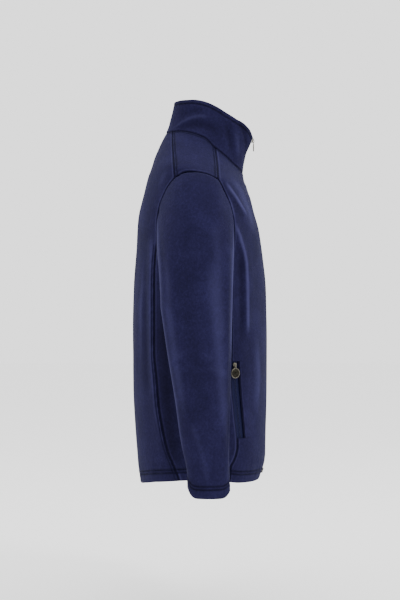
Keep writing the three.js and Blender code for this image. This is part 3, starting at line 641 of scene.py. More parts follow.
# Side panels: level rows up to one height, then rows that rise to the underarm
underTurn, underLevel = armhole["Under"]
levelRowsTo, riseSpan = -330, 100


def sidePlace(row, v):
    rise = np.clip((row - levelRowsTo) / riseSpan, 0, 1)
    level, backLevel, frontLevel = [
        np.where(rise > 0, mix(levelRowsTo, underLevel(at), rise), row + 0 * at) for at in (v, 0.0, 1.0)
    ]
    slip = underTurn(v) - mix(underTurn(0.0), underTurn(1.0), v)
    return mix(backSeamAt(backLevel), frontSeamAt(frontLevel), v) + slip * rise * rise, level


def sidePanel(name, side):
    rises = [5, 11, 17, 23, 29, 36, 43, 50, 57, 64, 71, 78, 84, 89, 93, 95.5, 97, 98, 98.9, 99.75]
    rows = hemRows + [row for row in middleRows if row < levelRowsTo - 1]
    rows += [levelRowsTo] + [levelRowsTo + rise for rise in rises]
    turn, level = panelGrid(sidePlace, rows, 30, side)
    channels = [("bottom", edges["hemRows"], 1)]
    return clothShell(name, turn, level, hemmed(level), ["start", "end", "top"], ["bottom"], channels)


def shoulderPlace(rise, v):
    front, back = [[curve(1 - rise) for curve in shoulderLines[name]] for name in ("Front", "Back")]
    slip, sag = [curve(v) - mix(curve(0.0), curve(1.0), v) for curve in armhole["Top"]]
    return mix(front[0], back[0], v) + slip * rise**2, mix(front[1], back[1], v) + sag * rise**3


def shoulderPanel(name, side):
    near = [0.0008, 0.005, 0.0095, 0.014, 0.02, 0.028, 0.038]
    rows = near + list(np.linspace(0.06, 0.94, 38)) + [0.962, 0.975, 0.984, 0.99, 0.9955, 0.9992]
    turn, level = panelGrid(shoulderPlace, rows, 16, side)
    channels = [("start", edges["doubleRow"], 1), ("end", edges["doubleRow"], 1), ("bottom", edges["neckRow"], 1)]
    return clothShell(name, turn, level, body["clothThickness"], ["start", "end", "bottom", "top"], [], channels)


def collarPlace(level, v):
    start = zipTurn(level, body["frontEdge"])
    return mix(start, 2 * math.pi - start, v), level + 0 * v


def collarPanel():
    near = [0.12, 0.7, 1.4, 2.1, 3, 4.2, 5.6, 7.5]
    top = [54, 55, 56, 57, 58.5, 60, 61.2, 62.2, 62.9, 63.4, 63.8, 64]
    turn, level = panelGrid(collarPlace, near + list(np.arange(10, 53, 2.8)) + top, 190)
    channels = [("top", edges["collarRow"], 1), ("start", edges["zipRow"], 1), ("end", edges["zipRow"], 1)]
    turned = ["start", "end", "top"]
    return clothShell("fleeceCollar", turn, level, body["collarThickness"], ["bottom"], turned, channels)


# One piece for each of the wearer's sides, by the name of the node that it stands for
def pairOf(nodeName, pieceName, make):
    return {f"{nodeName}_{word}": make(pieceName + word.capitalize(), side) for word, side in sides.items()}


panels = {
    **pairOf("front", "fleeceFront", frontPanel),
    "back": backPanel(),
    **pairOf("side_panel", "fleeceSide", sidePanel),
    **pairOf("shoulder", "fleeceShoulder", shoulderPanel),
    "collar": collarPanel(),
}
print("body panels made")


# Sleeves: set into the armhole, then through sections down to the cuff
sleeve = {
    # height, centre x of the right one, half width, centre y, half depth
    "sections": [
        (-335, -274, 50.5, 6.5, 68.5),
        (-417, -281, 47, 1.5, 61.5),
        (-511, -289, 42, -5, 52),
        (-578, -294, 39, -8.8, 46.8),
        (-655, -299, 35, -15.6, 40.7),
        (-692, -301, 33, -16.6, 40.6),
    ],
    "cornerRise": (11, 17),  # the cuff's front and back corners are round
    "gap": -0.1,
    "biceps": -335,
    "cuff": -692,
    "columns": 140,
    # how far the cap runs on outwards and downwards before it turns, as parts of the way to the biceps
    "capOut": 0.85,
    "capDown": 0.95,
    "armRound": 360,  # length that once round the arm stands for, where creases are measured
    # long soft folds: side, height, spread, place round the arm at the top and the bottom, from, to
    "folds": [
        (right, 2.6, 0.035, 0.16, 0.14, -250, -650),
        (right, 2.2, 0.035, 0.87, 0.9, -200, -420),
        (left, 2.4, 0.035, 0.15, 0.13, -270, -640),
        (left, 2.4, 0.035, 0.86, 0.9, -190, -440),
    ],
    # painted highlight bands (more than 0) and painted shade bands, one of them a painted rim light along the
    # sleeve's front edge, in the same columns
    "paintedLightBands": [
        (right, 0.3, 0.03, 0.06, 0.15, -230, -600),
        (right, 0.9, 0.032, 0.23, 0.225, -160, -470),
        (right, -0.35, 0.028, 0.19, 0.2, -240, -640),
        (right, 0.28, 0.03, 0.845, 0.87, -230, -560),
        (right, 0.5, 0.03, 0.765, 0.775, -130, -640),
        (right, -0.3, 0.05, 0.96, 0.98, -200, -560),
        (left, 0.3, 0.03, 0.07, 0.14, -240, -590),
        (left, 0.6, 0.032, 0.23, 0.225, -170, -480),
        (left, -0.3, 0.028, 0.19, 0.2, -250, -630),
        (left, 0.3, 0.03, 0.84, 0.87, -220, -550),
        (left, -0.25, 0.05, 0.95, 0.98, -210, -570),
    ],
    # smaller ones: side, height, spread, then place round the arm (0 outside, 0.25 in front) and height
    "wrinkles": [
        (right, 1.5, 8, [(0.07, -190), (0.1, -280), (0.12, -380)]),
        (right, -1.4, 8, [(0.2, -230), (0.21, -340), (0.2, -460)]),
        (right, -1.3, 9, [(0.8, -150), (0.82, -240), (0.86, -330)]),
        (right, 1.6, 6, [(0.9, -425), (0.97, -412), (1.05, -428)]),
        (right, -1.5, 6, [(0.86, -440), (0.93, -430), (1.02, -441)]),
        (right, 1.3, 6, [(0.98, -452), (1.06, -446), (1.14, -458)]),
        (right, 1.2, 7, [(0.93, -560), (0.97, -600), (0.99, -650)]),
        (right, -1.1, 7, [(0.04, -540), (0.05, -610), (0.03, -660)]),
        (right, 1.4, 7, [(0.22, -520), (0.2, -590), (0.16, -650)]),
        (right, 1.5, 6, [(0.3, -300), (0.38, -315), (0.48, -322)]),
        (right, 1.4, 6, [(0.33, -330), (0.42, -345), (0.5, -352)]),
        (right, 1.4, 6, [(0.72, -300), (0.62, -318), (0.52, -326)]),
        (left, 1.5, 8, [(0.06, -200), (0.09, -290), (0.11, -370)]),
        (left, -1.3, 8, [(0.2, -240), (0.2, -350), (0.19, -450)]),
        (left, -1.2, 9, [(0.8, -160), (0.83, -260), (0.87, -340)]),
        (left, 1.5, 6, [(0.88, -432), (0.96, -420), (1.04, -434)]),
        (left, -1.4, 6, [(0.85, -446), (0.94, -438), (1.03, -450)]),
        (left, 1.2, 7, [(0.94, -565), (0.97, -605), (0.99, -655)]),
        (left, 1.3, 7, [(0.21, -530), (0.19, -600), (0.16, -645)]),
        (left, 1.4, 6, [(0.3, -305), (0.4, -322), (0.49, -330)]),
        (left, 1.4, 6, [(0.71, -304), (0.6, -322), (0.51, -332)]),
    ],
}
sectionCurves = tableOf(sleeve["sections"])


def bandsRound(bands, side, turn, height):
    total = 0 * turn * height
    for bandSide, tall, spread, high, low, start, end in bands:
        if bandSide == side:
            along = smoothStep(start, start - 70, height) * smoothStep(end, end + 90, height)
            place = mix(high, low, (height - start) / (end - start))
            away = np.abs((turn - place + 1.5) % 1 - 0.5)
            total = total + tall * along * bell(away, spread)
    return total


def sectionPoint(side, turn, height):
    centreX, halfX, centreY, halfY = [curve(height) for curve in sectionCurves]
    fold = bandsRound(sleeve["folds"], side, turn, height)
    angle = 2 * math.pi * turn
    x = centreX - (halfX + fold) * np.cos(angle)
    y = centreY - (halfY + fold) * np.sin(angle)
    corner = np.maximum(np.abs(np.sin(angle)) - 0.4, 0) / 0.6
    rise = np.where(turn < 0.5, *sleeve["cornerRise"]) * corner**4 * smoothStep(-600, sleeve["cuff"], height)
    return np.stack(np.broadcast_arrays(side * x, y, height + rise), axis=-1)


def armholeRing(side, turns):
    parts = [("Top", 0.5, 0), ("Front", 1, 0), ("Under", 1, 0), ("Back", 1, 0), ("Top", 1, 0.5)]
    turn = np.concatenate([armhole[name][0](np.linspace(a, b, 80)[:-1]) for name, a, b in parts])
    level = np.concatenate([armhole[name][1](np.linspace(a, b, 80)[:-1]) for name, a, b in parts])
    turn, level = np.append(turn, turn[0]), np.append(level, level[0])
    lengths = alongRows(bodyPoint(side * turn, level)[None])[0]
    turn = np.interp(turns * lengths[-1], lengths, turn)
    level = np.interp(turns * lengths[-1], lengths, level)
    points, normals = bodyPoint(side * turn, level), bodyNormal(side * turn, level)
    way = np.roll(points, -1, axis=0) - np.roll(points, 1, axis=0)
    intoHole = unit(np.cross(normals, way))
    towards = points.mean(axis=0) - points
    intoHole *= np.sign((intoHole * towards).sum(axis=-1, keepdims=True))
    return points + intoHole * sleeve["gap"]


def normalsRound(grid, centre):
    around = np.roll(grid, -1, axis=1) - np.roll(grid, 1, axis=1)
    down = np.gradient(grid, axis=0)
    normals = unit(np.cross(around, down))
    return normals * np.sign((normals * (grid - centre)).sum(axis=-1, keepdims=True).mean())


def sleeveShell(name, side):
    even = np.arange(sleeve["columns"]) / sleeve["columns"]
    nearUnder = 0.5 + np.array([-0.0095, -0.0065, -0.004, -0.002, 0, 0.002, 0.004, 0.0065, 0.0095])
    turns = np.sort(np.concatenate([even[np.abs(even - 0.5) > 0.0125], nearUnder]))
    start = armholeRing(side, turns)
    to = sectionPoint(side, turns, np.full(turns.shape, float(sleeve["biceps"])))
    reach = np.linalg.norm(start - to, axis=-1, keepdims=True)
    top = (0.5 + 0.5 * np.cos(2 * math.pi * turns))[:, None]
    wayOut = unit(np.concatenate([np.full(top.shape, -side), 0 * top, -mix(1.1, 0.5, top)], axis=1))
    wayOut = wayOut * reach * sleeve["capOut"]
    wayDown = np.array([-side * 0.08, 0, -1]) * reach * sleeve["capDown"]
    near = np.array([0, 0.7, 1.5, 2.4, 3.6, 5.2, 7, 9.5, 13])
    rows = [np.minimum(d / (sleeve["capOut"] * reach), 0.5) for d in near]
    rows += [mix(rows[8], 1, t) for t in np.linspace(0, 1, 46)[1:]]
    cap = []
    for u in rows:
        v = 1 - u
        ends = start * v * v * (1 + 2 * u) + to * u * u * (1 + 2 * v)
        cap.append(ends + wayOut * u * v * v - wayDown * u * u * v)
    low = list(np.arange(-340.5, -658, -4.6)) + [sleeve["cuff"] + d for d in nearHem[::-1]]
    grid = np.array(cap + [sectionPoint(side, turns, np.full(turns.shape, z)) for z in low])
    centre = grid.mean(axis=1, keepdims=True)
    normals = normalsRound(grid, centre)
    fromSeam = alongRows(grid.transpose(1, 0, 2)).T
    fromCuff = fromSeam[-1:] - fromSeam
    place = turns[None, :] + 0 * fromSeam
    height = np.zeros(fromSeam.shape)
    for foldSide, tall, spread, path in sleeve["wrinkles"]:
        if foldSide == side:
            for shift in (-1, 0, 1):
                way = [(at * sleeve["armRound"], z) for at, z in path]
                height += tall * bell(distanceToPath((place + shift) * sleeve["armRound"], grid[..., 2], way), spread)
    # painted highlight on the wrinkles' crests and painted shade in their troughs and along the cuff's stitch rows, a
    # painted highlight just below the armhole seam with painted shade in its roll, and the painted bands
    paintedLight = 0.09 * height + rowPaintedShade(fromCuff, edges["hemRows"])
    paintedLight += seamPaintedLight(fromSeam, 0.2 + 0.75 * np.sin(2 * math.pi * place) ** 2)
    paintedLight += bandsRound(sleeve["paintedLightBands"], side, place, grid[..., 2])
    # the cap is eased into the armhole in small gathers
    onCap = bell(np.abs((place + 0.5) % 1 - 0.5), 0.2)
    height += 0.45 * np.sin(place * 2 * math.pi * 37 + 2 * np.sin(place * 40)) * bell(fromSeam - 7, 6) * onCap
    slow = np.sin(grid[..., 2] * 0.027 + place * 19 + side) * np.sin(place * 2 * math.pi * 3 + side)
    height += 0.6 * slow * smoothStep(6, 60, fromSeam) * smoothStep(8, 50, fromCuff)
    underSeam = np.abs(place - 0.5) * 300
    down = 1.5 * seamRoll(fromSeam * 0.75) + 0.8 * bell(underSeam, 1.6) * smoothStep(0, 6, fromSeam)
    down += channel(fromCuff, edges["hemRows"]) * (1 + 0.25 * np.sin(place * 2 * math.pi * 17))
    grid = grid + normals * height[..., None]
    normals = normalsRound(grid, centre)
    turned = edges["hemTurned"]
    thick = mix(body["clothThickness"], body["hemThickness"], smoothStep(turned + 1, turned - 1, fromCuff))
    closing = turnedEdge(fromCuff, thick / 2)
    outer = grid - normals * (down + closing)[..., None]
    inner = grid - normals * (thick - closing)[..., None]
    uv = np.stack([place * sleeve["armRound"], fromSeam], axis=-1)
    made = gridShell(name, outer, inner, uv, closedRound=True, paintedLight=paintedLight)
    distances = {"top": fromSeam, "bottom": fromCuff}
    return {"object": made, "outer": outer, "normals": normals, "distances": distances}


sleeves = pairOf("sleeve", "fleeceSleeve", sleeveShell)
print("sleeves made")


# Small rounded rods by the hundred, for stitches and zip coils. Each bows up in the middle by lift
def rodsMesh(name, centres, ways, ups, length, radius, lift):
    centres, ways, ups = [np.concatenate(part) for part in (centres, ways, ups)]
    across = unit(np.cross(ways, ups))
    ups = unit(np.cross(across, ways))
    rings = [(-0.5, 0.45, -1), (-0.28, 1, 0.55), (0.28, 1, 0.55), (0.5, 0.45, -1)]
    angles = (np.arange(4) + 0.5) * math.pi / 2
    points = []
    for along, wide, high in rings:
        middle = centres + ways * (along * length) + ups * (high * lift)
        for angle in angles:
            points.append(middle + (across * math.cos(angle) + ups * math.sin(angle)) * radius * wide)
    points = np.stack(points, axis=1)
    faces = []
    for start in range(0, 4 * (len(rings) - 1), 4):
        for k in range(4):
            a, b = start + k, start + (k + 1) % 4
            faces.append((a, b, b + 4, a + 4))
    faces += [(3, 2, 1, 0), (12, 13, 14, 15)]
    faces = np.array(faces)
    count = points.shape[1]
    allFaces = (faces[None] + (np.arange(len(centres)) * count)[:, None, None]).reshape(-1, 4)
    flat = points.reshape(-1, 3) * mm
    a, b, c = [flat[allFaces[: len(faces), k]] for k in range(3)]
    if (np.cross(b - a, c - a) * (a - flat[:count].mean(axis=0))).sum() < 0:
        allFaces = allFaces[:, ::-1]
    return meshObject(name, flat, allFaces)


# The line on a panel at one distance from an edge
def lineAt(panel, edge, place, keep=None):
    distance, grids = panel["distances"][edge], [panel["outer"], panel["normals"]]
    if edge in ("bottom", "top"):
        distance, grids = distance.T, [grid.transpose(1, 0, 2) for grid in grids]
    if edge in ("end", "top"):
        distance, grids = distance[:, ::-1], [grid[:, ::-1] for grid in grids]
    points, normals = [
        np.array([[np.interp(place, run, row[:, k]) for k in range(3)] for run, row in zip(distance, grid)])
        for grid in grids
    ]
    if keep is not None:
        kept = (points[:, 2] > keep[0]) & (points[:, 2] < keep[1])
        points, normals = points[kept], normals[kept]
    return points, unit(normals)


thread = {"pitch": 3.4, "length": 3.1, "radius": 0.3, "lift": 0.28}


def stitchesOn(name, lines, closed=False):
    centres, ways, ups = [], [], []
    for points, normals in lines:
        if closed:
            points, normals = np.vstack([points, points[:1]]), np.vstack([normals, normals[:1]])
        lengths = alongRows(points[None])[0]
        places = np.arange(thread["pitch"] / 2, lengths[-1], thread["pitch"])
        at = lambda values, s: np.stack([np.interp(s, lengths, values[:, k]) for k in range(3)], axis=1)
        centres.append(at(points, places) + unit(at(normals, places)) * 0.1)
        ways.append(unit(at(points, places + 1.2) - at(points, places - 1.2)))
        ups.append(unit(at(normals, places)))
    return rodsMesh(name, centres, ways, ups, thread["length"], thread["radius"], thread["lift"])


# Rows of stitches: panel, edge, distances from it, and the heights between which they run
def rowsOnBody():
    low, high = seams["pocketBottom"], seams["pocketTop"]
    for word in sides:
        front = "front_" + word
        yield front, "start", edges["zipRow"], None
        yield front, "end", edges["pocketRow"], (low - 6, high - 2)
        yield front, "end", edges["sideRow"], (-672, low - 4)
        yield front, "end", edges["sideRow"], (high + 4, -236)
        yield front, "bottom", edges["hemRows"], None
        yield front, "top", edges["neckRow"], None
    for edge in ("start", "end"):
        yield "back", edge, edges["doubleRow"], (-676, -222)
    yield "back", "bottom", edges["hemRows"], None
    yield "back", "top", edges["neckRow"], None
    for word in sides:
        yield "side_panel_" + word, "bottom", edges["hemRows"], None
    for word in sides:
        for edge in ("start", "end"):
            yield "shoulder_" + word, edge, edges["doubleRow"], None
        yield "shoulder_" + word, "bottom", edges["neckRow"], None


bodyLines = [lineAt(panels[name], edge, place, keep) for name, edge, places, keep in rowsOnBody() for place in places]
collarRows = [("top", edges["collarRow"]), ("start", edges["zipRow"]), ("end", edges["zipRow"])]
collarLines = [lineAt(panels["collar"], edge, place) for edge, places in collarRows for place in places]
cuffLines = [lineAt(one, "bottom", place) for one in sleeves.values() for place in edges["hemRows"]]
stitching = {
    "body": stitchesOn("threadBody", bodyLines),
    "collar": stitchesOn("threadCollar", collarLines),
    "cuffs": stitchesOn("threadCuffs", cuffLines, closed=True),
}
print("stitching made")


# Zips: woven tapes behind the cloth's edges, and the coils on them
zips = {
    "tapeHalf": 14,
    "tapeThickness": 0.8,
    "clearance": 0.75,
    "coilPitch": 1.5,
    "coilReach": 3.1,
    "coilRadius": 0.56,
    "coilDepth": 0.95,
    "pocketDepth": 3.85,
    "pocketCoilPitch": 1.25,
    "pocketCoilReach": 1.9,
    "pocketCoilRadius": 0.34,
    "pocketCoilRaised": 0.45,
}


def zipPlace(level, x, depth):
    turn = -zipTurn(level, x)
    return bodyPoint(turn, level) - bodyNormal(turn, level) * np.asarray(depth)[..., None]


def zipWall(level):
    low = smoothStep(-650, -652.5, level)
    high = smoothStep(-4.5, -3, level)
    wall = mix(mix(body["clothThickness"], body["hemThickness"], low), body["collarThickness"], high)
    return wall + zips["clearance"]


def frontTape():
    levels = np.concatenate([np.arange(-675, -20, 4.4), np.arange(-19, 61, 2.4)])[:, None]
    half = [1.2, 2.6, 3.4, 5.2, 8, 11, 13.4, zips["tapeHalf"]]
    x = np.array([-h for h in half[::-1]] + [0] + half)[None, :]
    levels, x = np.broadcast_arrays(levels, x)
    rise = np.exp(-((x / 3.1) ** 4)) * (zipWall(levels) - 1.55) * smoothStep(-666, -663, levels)
    outer = zipPlace(levels, x, zipWall(levels) - rise)
    inner = zipPlace(levels, x, zipWall(levels) + zips["tapeThickness"])
    uv = np.stack([x, edgeDistances(outer)[2]], axis=-1)
    return gridShell("tapeFront", outer, inner, uv)


def frontCoil():
    centres, ways, ups = [], [], []
    for side in (-1, 1):
        start = -661 + (zips["coilPitch"] / 2 if side > 0 else 0)
        levels = np.arange(start, 54.5, zips["coilPitch"])
        middle, edge = [zipPlace(levels, side * x + 0 * levels, zips["coilDepth"] + 0 * levels) for x in (1.15, 2.4)]
        centres.append(middle)
        ways.append(unit(edge - middle))
        ups.append(bodyNormal(-zipTurn(levels, 0.0), levels))
    return rodsMesh("coilFront", centres, ways, ups, zips["coilReach"], zips["coilRadius"], 0.12)


# The pocket's tape runs on a little under the cloth on both sides
def pocketTurn(level, v):
    return mix(lipAt(level) - 0.045, frontSeamAt(level) + 0.04, v)


def pocketTape(name, side):
    rows = np.arange(-602, -430.5, 2.2)[:, None]
    v = np.linspace(0, 1, 25)[None, :]
    turn = side * pocketTurn(rows, v)
    rows = rows + 0 * v
    ridge = 0.55 * bell(v - 0.5, 0.1) - 0.5 * bell(v - 0.5, 0.018)
    points, normals = bodyPoint(turn, rows), bodyNormal(turn, rows)
    outer = points - normals * (zips["pocketDepth"] - ridge)[..., None]
    inner = points - normals * (zips["pocketDepth"] + zips["tapeThickness"] + 0 * rows)[..., None]
    distances = edgeDistances(points)
    return gridShell(name, outer, inner, np.stack([distances[0], distances[2]], axis=-1))


def pocketCoil(name, side):
    centres, ways, ups = [], [], []
    levels = np.arange(-599, -454, zips["pocketCoilPitch"])
    middleTurn = pocketTurn(levels, 0.5)
    step = bodyPoint(middleTurn + 0.01, levels) - bodyPoint(middleTurn - 0.01, levels)
    across = 1 / np.linalg.norm(step, axis=-1) * 0.02
    for half in (-1, 1):
        turn = side * (middleTurn + half * 1.15 * across)
        far = side * (middleTurn + half * 2.1 * across)
        normals = bodyNormal(turn, levels)
        down = normals * (zips["pocketDepth"] - zips["pocketCoilRaised"])
        here, there = bodyPoint(turn, levels) - down, bodyPoint(far, levels + 0.45) - down
        centres.append(here)
        ways.append(unit(there - here))
        ups.append(normals)
    return rodsMesh(name, centres, ways, ups, zips["pocketCoilReach"], zips["pocketCoilRadius"], 0.1)


tapes = {"front_zip": frontTape(), **pairOf("pocket_tape", "tapePocket", pocketTape)}
coils = [frontCoil(), *pairOf("pocket_coil", "coilPocket", pocketCoil).values()]
print("zip tapes and coils made")


# Hard pieces, modelled in their own frame: x along the hinge, y out of the cloth, z up the zip
def clearSelection():
    if bpy.context.object and bpy.context.object.mode != "OBJECT":
        bpy.ops.object.mode_set(mode="OBJECT")
    bpy.ops.object.select_all(action="DESELECT")


def startBlock(name, low, high):
    clearSelection()
    middle = [(a + b) / 2 * mm for a, b in zip(low, high)]
    bpy.ops.mesh.primitive_cube_add(size=1, location=middle)
    made = bpy.context.object
    made.name = name
    made.scale = [(b - a) * mm for a, b in zip(low, high)]
    bpy.ops.object.transform_apply(location=True, rotation=True, scale=True)
    return made


def startRound(name, radius, depth, centre, turned, facets):
    clearSelection()
    bpy.ops.mesh.primitive_cylinder_add(
        vertices=facets, radius=radius * mm, depth=depth * mm, location=[c * mm for c in centre], rotation=turned
    )
    made = bpy.context.object
    made.name = name
    bpy.ops.object.transform_apply(location=True, rotation=True, scale=True)
    return made


# Edit mode on one piece, with the parts that pass the test selected
@contextmanager
def picked(made, kind, test):
    bpy.context.view_layer.objects.active = made
    made.select_set(True)
    bpy.ops.object.mode_set(mode="EDIT")
    bpy.ops.mesh.select_mode(type=kind)
    bpy.ops.mesh.select_all(action="DESELECT")
    mesh = bmesh.from_edit_mesh(made.data)
    for part in {"VERT": mesh.verts, "EDGE": mesh.edges, "FACE": mesh.faces}[kind]:
        if test(part):
            part.select_set(True)
    mesh.select_flush_mode()
    bmesh.update_edit_mesh(made.data)
    yield
    bpy.ops.object.mode_set(mode="OBJECT")


def insetBy(thickness, depth=0, each=True):
    bpy.ops.mesh.inset(thickness=thickness * mm, depth=depth * mm, use_individual=each)


def softened(made, width, segments=3):
    clearSelection()
    bpy.context.view_layer.objects.active = made
    made.select_set(True)
    bevel = made.modifiers.new("edgeRounding", "BEVEL")
    bevel.width = width * mm
    bevel.segments = segments
    bevel.limit_method = "ANGLE"
    bevel.angle_limit = math.radians(28)
    bpy.ops.object.modifier_apply(modifier=bevel.name)
    bpy.ops.object.shade_smooth_by_angle(angle=math.radians(40))
    return made


def joinAs(name, parts):
    clearSelection()
    for part in parts:
        part.select_set(True)
    bpy.context.view_layer.objects.active = parts[0]
    bpy.ops.object.join()
    made = bpy.context.object
    made.name = name
    made.data.name = name
    return made


slider = {
    "halfWidth": 4,
    "halfLength": 4.6,
    "widestAt": 1.6,
    "lowEndWidth": 0.65,
    "highEndWidth": 0.8,
    "bridgeHalf": 0.95,
    "bridgeHigh": 3.1,
    "bridgeFrom": -3.6,
    "bridgeTo": 1.5,
    "sunk": 0.3,
    "hingeHigh": 1.4,
    "hingeAt": -1.7,
}


def sliderBody(name, plateLow, plateHigh):
    wide, long = slider["halfWidth"], slider["halfLength"]
    plate = startBlock(name + "Plate", (-wide, plateLow, -long), (wide, plateHigh, long))
    with picked(plate, "FACE", lambda face: True):
        bpy.ops.mesh.bisect(plane_co=(0, 0, slider["widestAt"] * mm), plane_no=(0, 0, 1))
    for end, width in ((-1, slider["lowEndWidth"]), (1, slider["highEndWidth"])):
        with picked(plate, "VERT", lambda vert: end * vert.co.z > 4 * mm):
            bpy.ops.transform.resize(value=(width, 1, 1))
    # a raised flat on the face, as cast sliders have
    with picked(plate, "FACE", lambda face: face.normal.y > 0.9):
        insetBy(0.8, 0.18, each=False)
    softened(plate, 0.32)
    bridge = startBlock(
        name + "Bridge",
        (-slider["bridgeHalf"], plateHigh - slider["sunk"], slider["bridgeFrom"]),
        (slider["bridgeHalf"], plateHigh + slider["bridgeHigh"], slider["bridgeTo"]),
    )
    with picked(bridge, "FACE", lambda face: abs(face.normal.x) > 0.9):
        insetBy(0.8)
        bpy.ops.mesh.delete(type="ONLY_FACE")
    with picked(bridge, "EDGE", lambda edge: edge.is_boundary):
        bpy.ops.mesh.bridge_edge_loops()
        bpy.ops.mesh.select_all(action="SELECT")
        bpy.ops.mesh.normals_make_consistent(inside=False)
    softened(bridge, 0.26)
    return joinAs(name, [plate, bridge])


pull = {
    "barRadius": 0.55,
    "barLength": 4.9,
    "legAt": 1.9,
    "back": -0.5,
    "front": 0.6,
    "discTop": 3.6,
    "discThickness": 1.8,
    "discCentre": 0.1,
    "rim": 1.25,
    "recess": 0.38,
}


def tarnishOn(made, amountAt):
    tarnish = made.data.attributes.new("tarnish", "FLOAT", "POINT")
    for vert, mark in zip(made.data.vertices, tarnish.data):
        mark.value = amountAt(vert.co / mm)


def pullTab(name, discRadius):
    bar = startRound(name + "Bar", pull["barRadius"], pull["barLength"], (0, 0, 0), (0, math.pi / 2, 0), 20)
    softened(bar, 0.15, 2)
    parts = [bar]
    back, front = pull["back"], pull["front"]
    for middle in (-pull["legAt"], pull["legAt"]):
        leg = startBlock(name + "Leg", (middle - 0.55, back, -5.2), (middle + 0.55, front, 0.5))
        parts.append(softened(leg, 0.25))
    parts.append(softened(startBlock(name + "Neck", (-2.45, back, -5.6), (2.45, front, -3.9)), 0.25))
    centre = (0, pull["discCentre"], -pull["discTop"] - discRadius)
    disc = startRound(name + "Disc", discRadius, pull["discThickness"], centre, (math.pi / 2, 0, 0), 64)
    with picked(disc, "FACE", lambda face: abs(face.normal.y) > 0.9):
        insetBy(pull["rim"])
        insetBy(0.35, -pull["recess"])
        insetBy(discRadius * 0.42, 0.07)
    disc = softened(disc, 0.28)
    # the recessed faces are dark inside their bright rim
    reach = discRadius - pull["rim"] - 0.15
    tarnishOn(disc, lambda place: float(math.hypot(place.x, place.z - centre[2]) < reach))
    parts.append(disc)
    return joinAs(name, parts)


# Where each pull hangs on its slider, in millimetres, with the ways out of the cloth and up the zip
hinges = {
    "front": {"at": (0, -109.3759, -4.631), "out": (0, -0.922, -0.3872), "up": (0, -0.3872, 0.922)},
    "right": {
        "at": (-198.4488, -68.7867, -451.1333),
        "out": (-0.8334, -0.5522, -0.0209),
        "up": (-0.0212, -0.0058, 0.9998),
    },
}
hinges["left"] = {key: (-x, y, z) for key, (x, y, z) in hinges["right"].items()}


def placed(made, hinge, shift=(0, 0, 0), upright=False):
    out, up = Vector(hinge["out"]), Vector(hinge["up"])
    if upright:
        out, up = Vector((out.x, out.y, 0)).normalized(), Vector((0, 0, 1))
    across = out.cross(up).normalized()
    at = Vector(hinge["at"]) * mm
    turn = Matrix((across, out, up)).transposed().to_4x4()
    made.matrix_world = Matrix.Translation(at) @ turn @ Matrix.Translation(Vector(shift) * mm)
    clearSelection()
    made.select_set(True)
    bpy.context.view_layer.objects.active = made
    bpy.ops.object.transform_apply(location=True, rotation=True, scale=True)
    return made


def sliderShift(plateHigh):
    return (0, -(plateHigh + slider["hingeHigh"]), -slider["hingeAt"])


frontPlate, pocketPlate = (-0.3, 2.2), (0.3 - 3.8, 0.2)
metal = {
    "front_slider": placed(sliderBody("sliderFront", *frontPlate), hinges["front"], sliderShift(frontPlate[1])),
    "front_pull": placed(pullTab("pullFront", 8), hinges["front"], upright=True),
}
for word in sides:
    made = sliderBody("slider" + word.capitalize(), *pocketPlate)
    metal["pocket_slider_" + word] = placed(made, hinges[word], sliderShift(pocketPlate[1]))
    metal["pocket_pull_" + word] = placed(pullTab("pull" + word.capitalize(), 10), hinges[word])


def bottomBox():
    made = startBlock("zipBottomBox", (-4.2, -4.4, -5.7), (4.2, 0.8, 4.6))
    with picked(made, "FACE", lambda face: face.normal.y > 0.9):
        insetBy(0.9, -0.25, each=False)
    softened(made, 0.4)
    tarnishOn(made, lambda place: 0.8)
    level = np.array(-669.0)
    at, out = bodyPoint(0.0, level), bodyNormal(0.0, level)
    up = unit(bodyPoint(0.0, level + 4) - bodyPoint(0.0, level - 4))
    return placed(made, {"at": tuple(at), "out": tuple(out), "up": tuple(up)})


metal["front_zip_box"] = bottomBox()
print("sliders, pulls and the zip's box made")


# Materials: add makes a node in the new material, with plain values or other nodes' sockets for its inputs
def colour(hexCode):
    parts = [int(hexCode[i : i + 2], 16) / 255 for i in (1, 3, 5)]
    linear = [c / 12.92 if c <= 0.04045 else ((c + 0.055) / 1.055) ** 2.4 for c in parts]
    return (*linear, 1)


def startMaterial(name):
    material = bpy.data.materials.new(name)
    material.use_nodes = True
    tree = material.node_tree
    tree.nodes.clear()

    def add(kind, inputs=(), **settings):
        made = tree.nodes.new("ShaderNode" + kind)
        for key, value in settings.items():
            setattr(made, key, value)
        for key, value in dict(inputs).items():
            if isinstance(value, bpy.types.NodeSocket):
                tree.links.new(value, made.inputs[key])
            else:
                made.inputs[key].default_value = value
        return made

    return material, add


def finishMaterial(add, looks):
    shader = add("BsdfPrincipled", looks)
    add("OutputMaterial", {"Surface": shader.outputs["BSDF"]})


def rampOn(add, factor, stops):
    ramp = add("ValToRGB", {"Fac": factor})
    while len(ramp.color_ramp.elements) < len(stops):
        ramp.color_ramp.elements.new(0.5)
    for element, (place, hexCode) in zip(ramp.color_ramp.elements, stops):
        element.position = place
        element.color = colour(hexCode)
    return ramp.outputs["Color"]


def noiseOn(add, size, **more):
    place = add("TexCoord").outputs["Object"]
    return add("TexNoise", {"Vector": place, "Scale": 1 / (size * mm), **more}).outputs["Fac"]


# ribs of one width, in millimetres
def ribsOn(add, place, rib, direction, **more):
    scale = 2 * math.pi / (20 * rib * mm)
    return add("TexWave", {"Vector": place, "Scale": scale, **more}, bands_direction=direction).outputs["Fac"]


def mathOn(add, a, b, operation):
    return add("Math", {0: a, 1: b}, operation=operation).outputs[0]


def rangeOn(add, value, low, high, **more):
    return add("MapRange", {"Value": value, "To Min": low, "To Max": high, **more}).outputs["Result"]


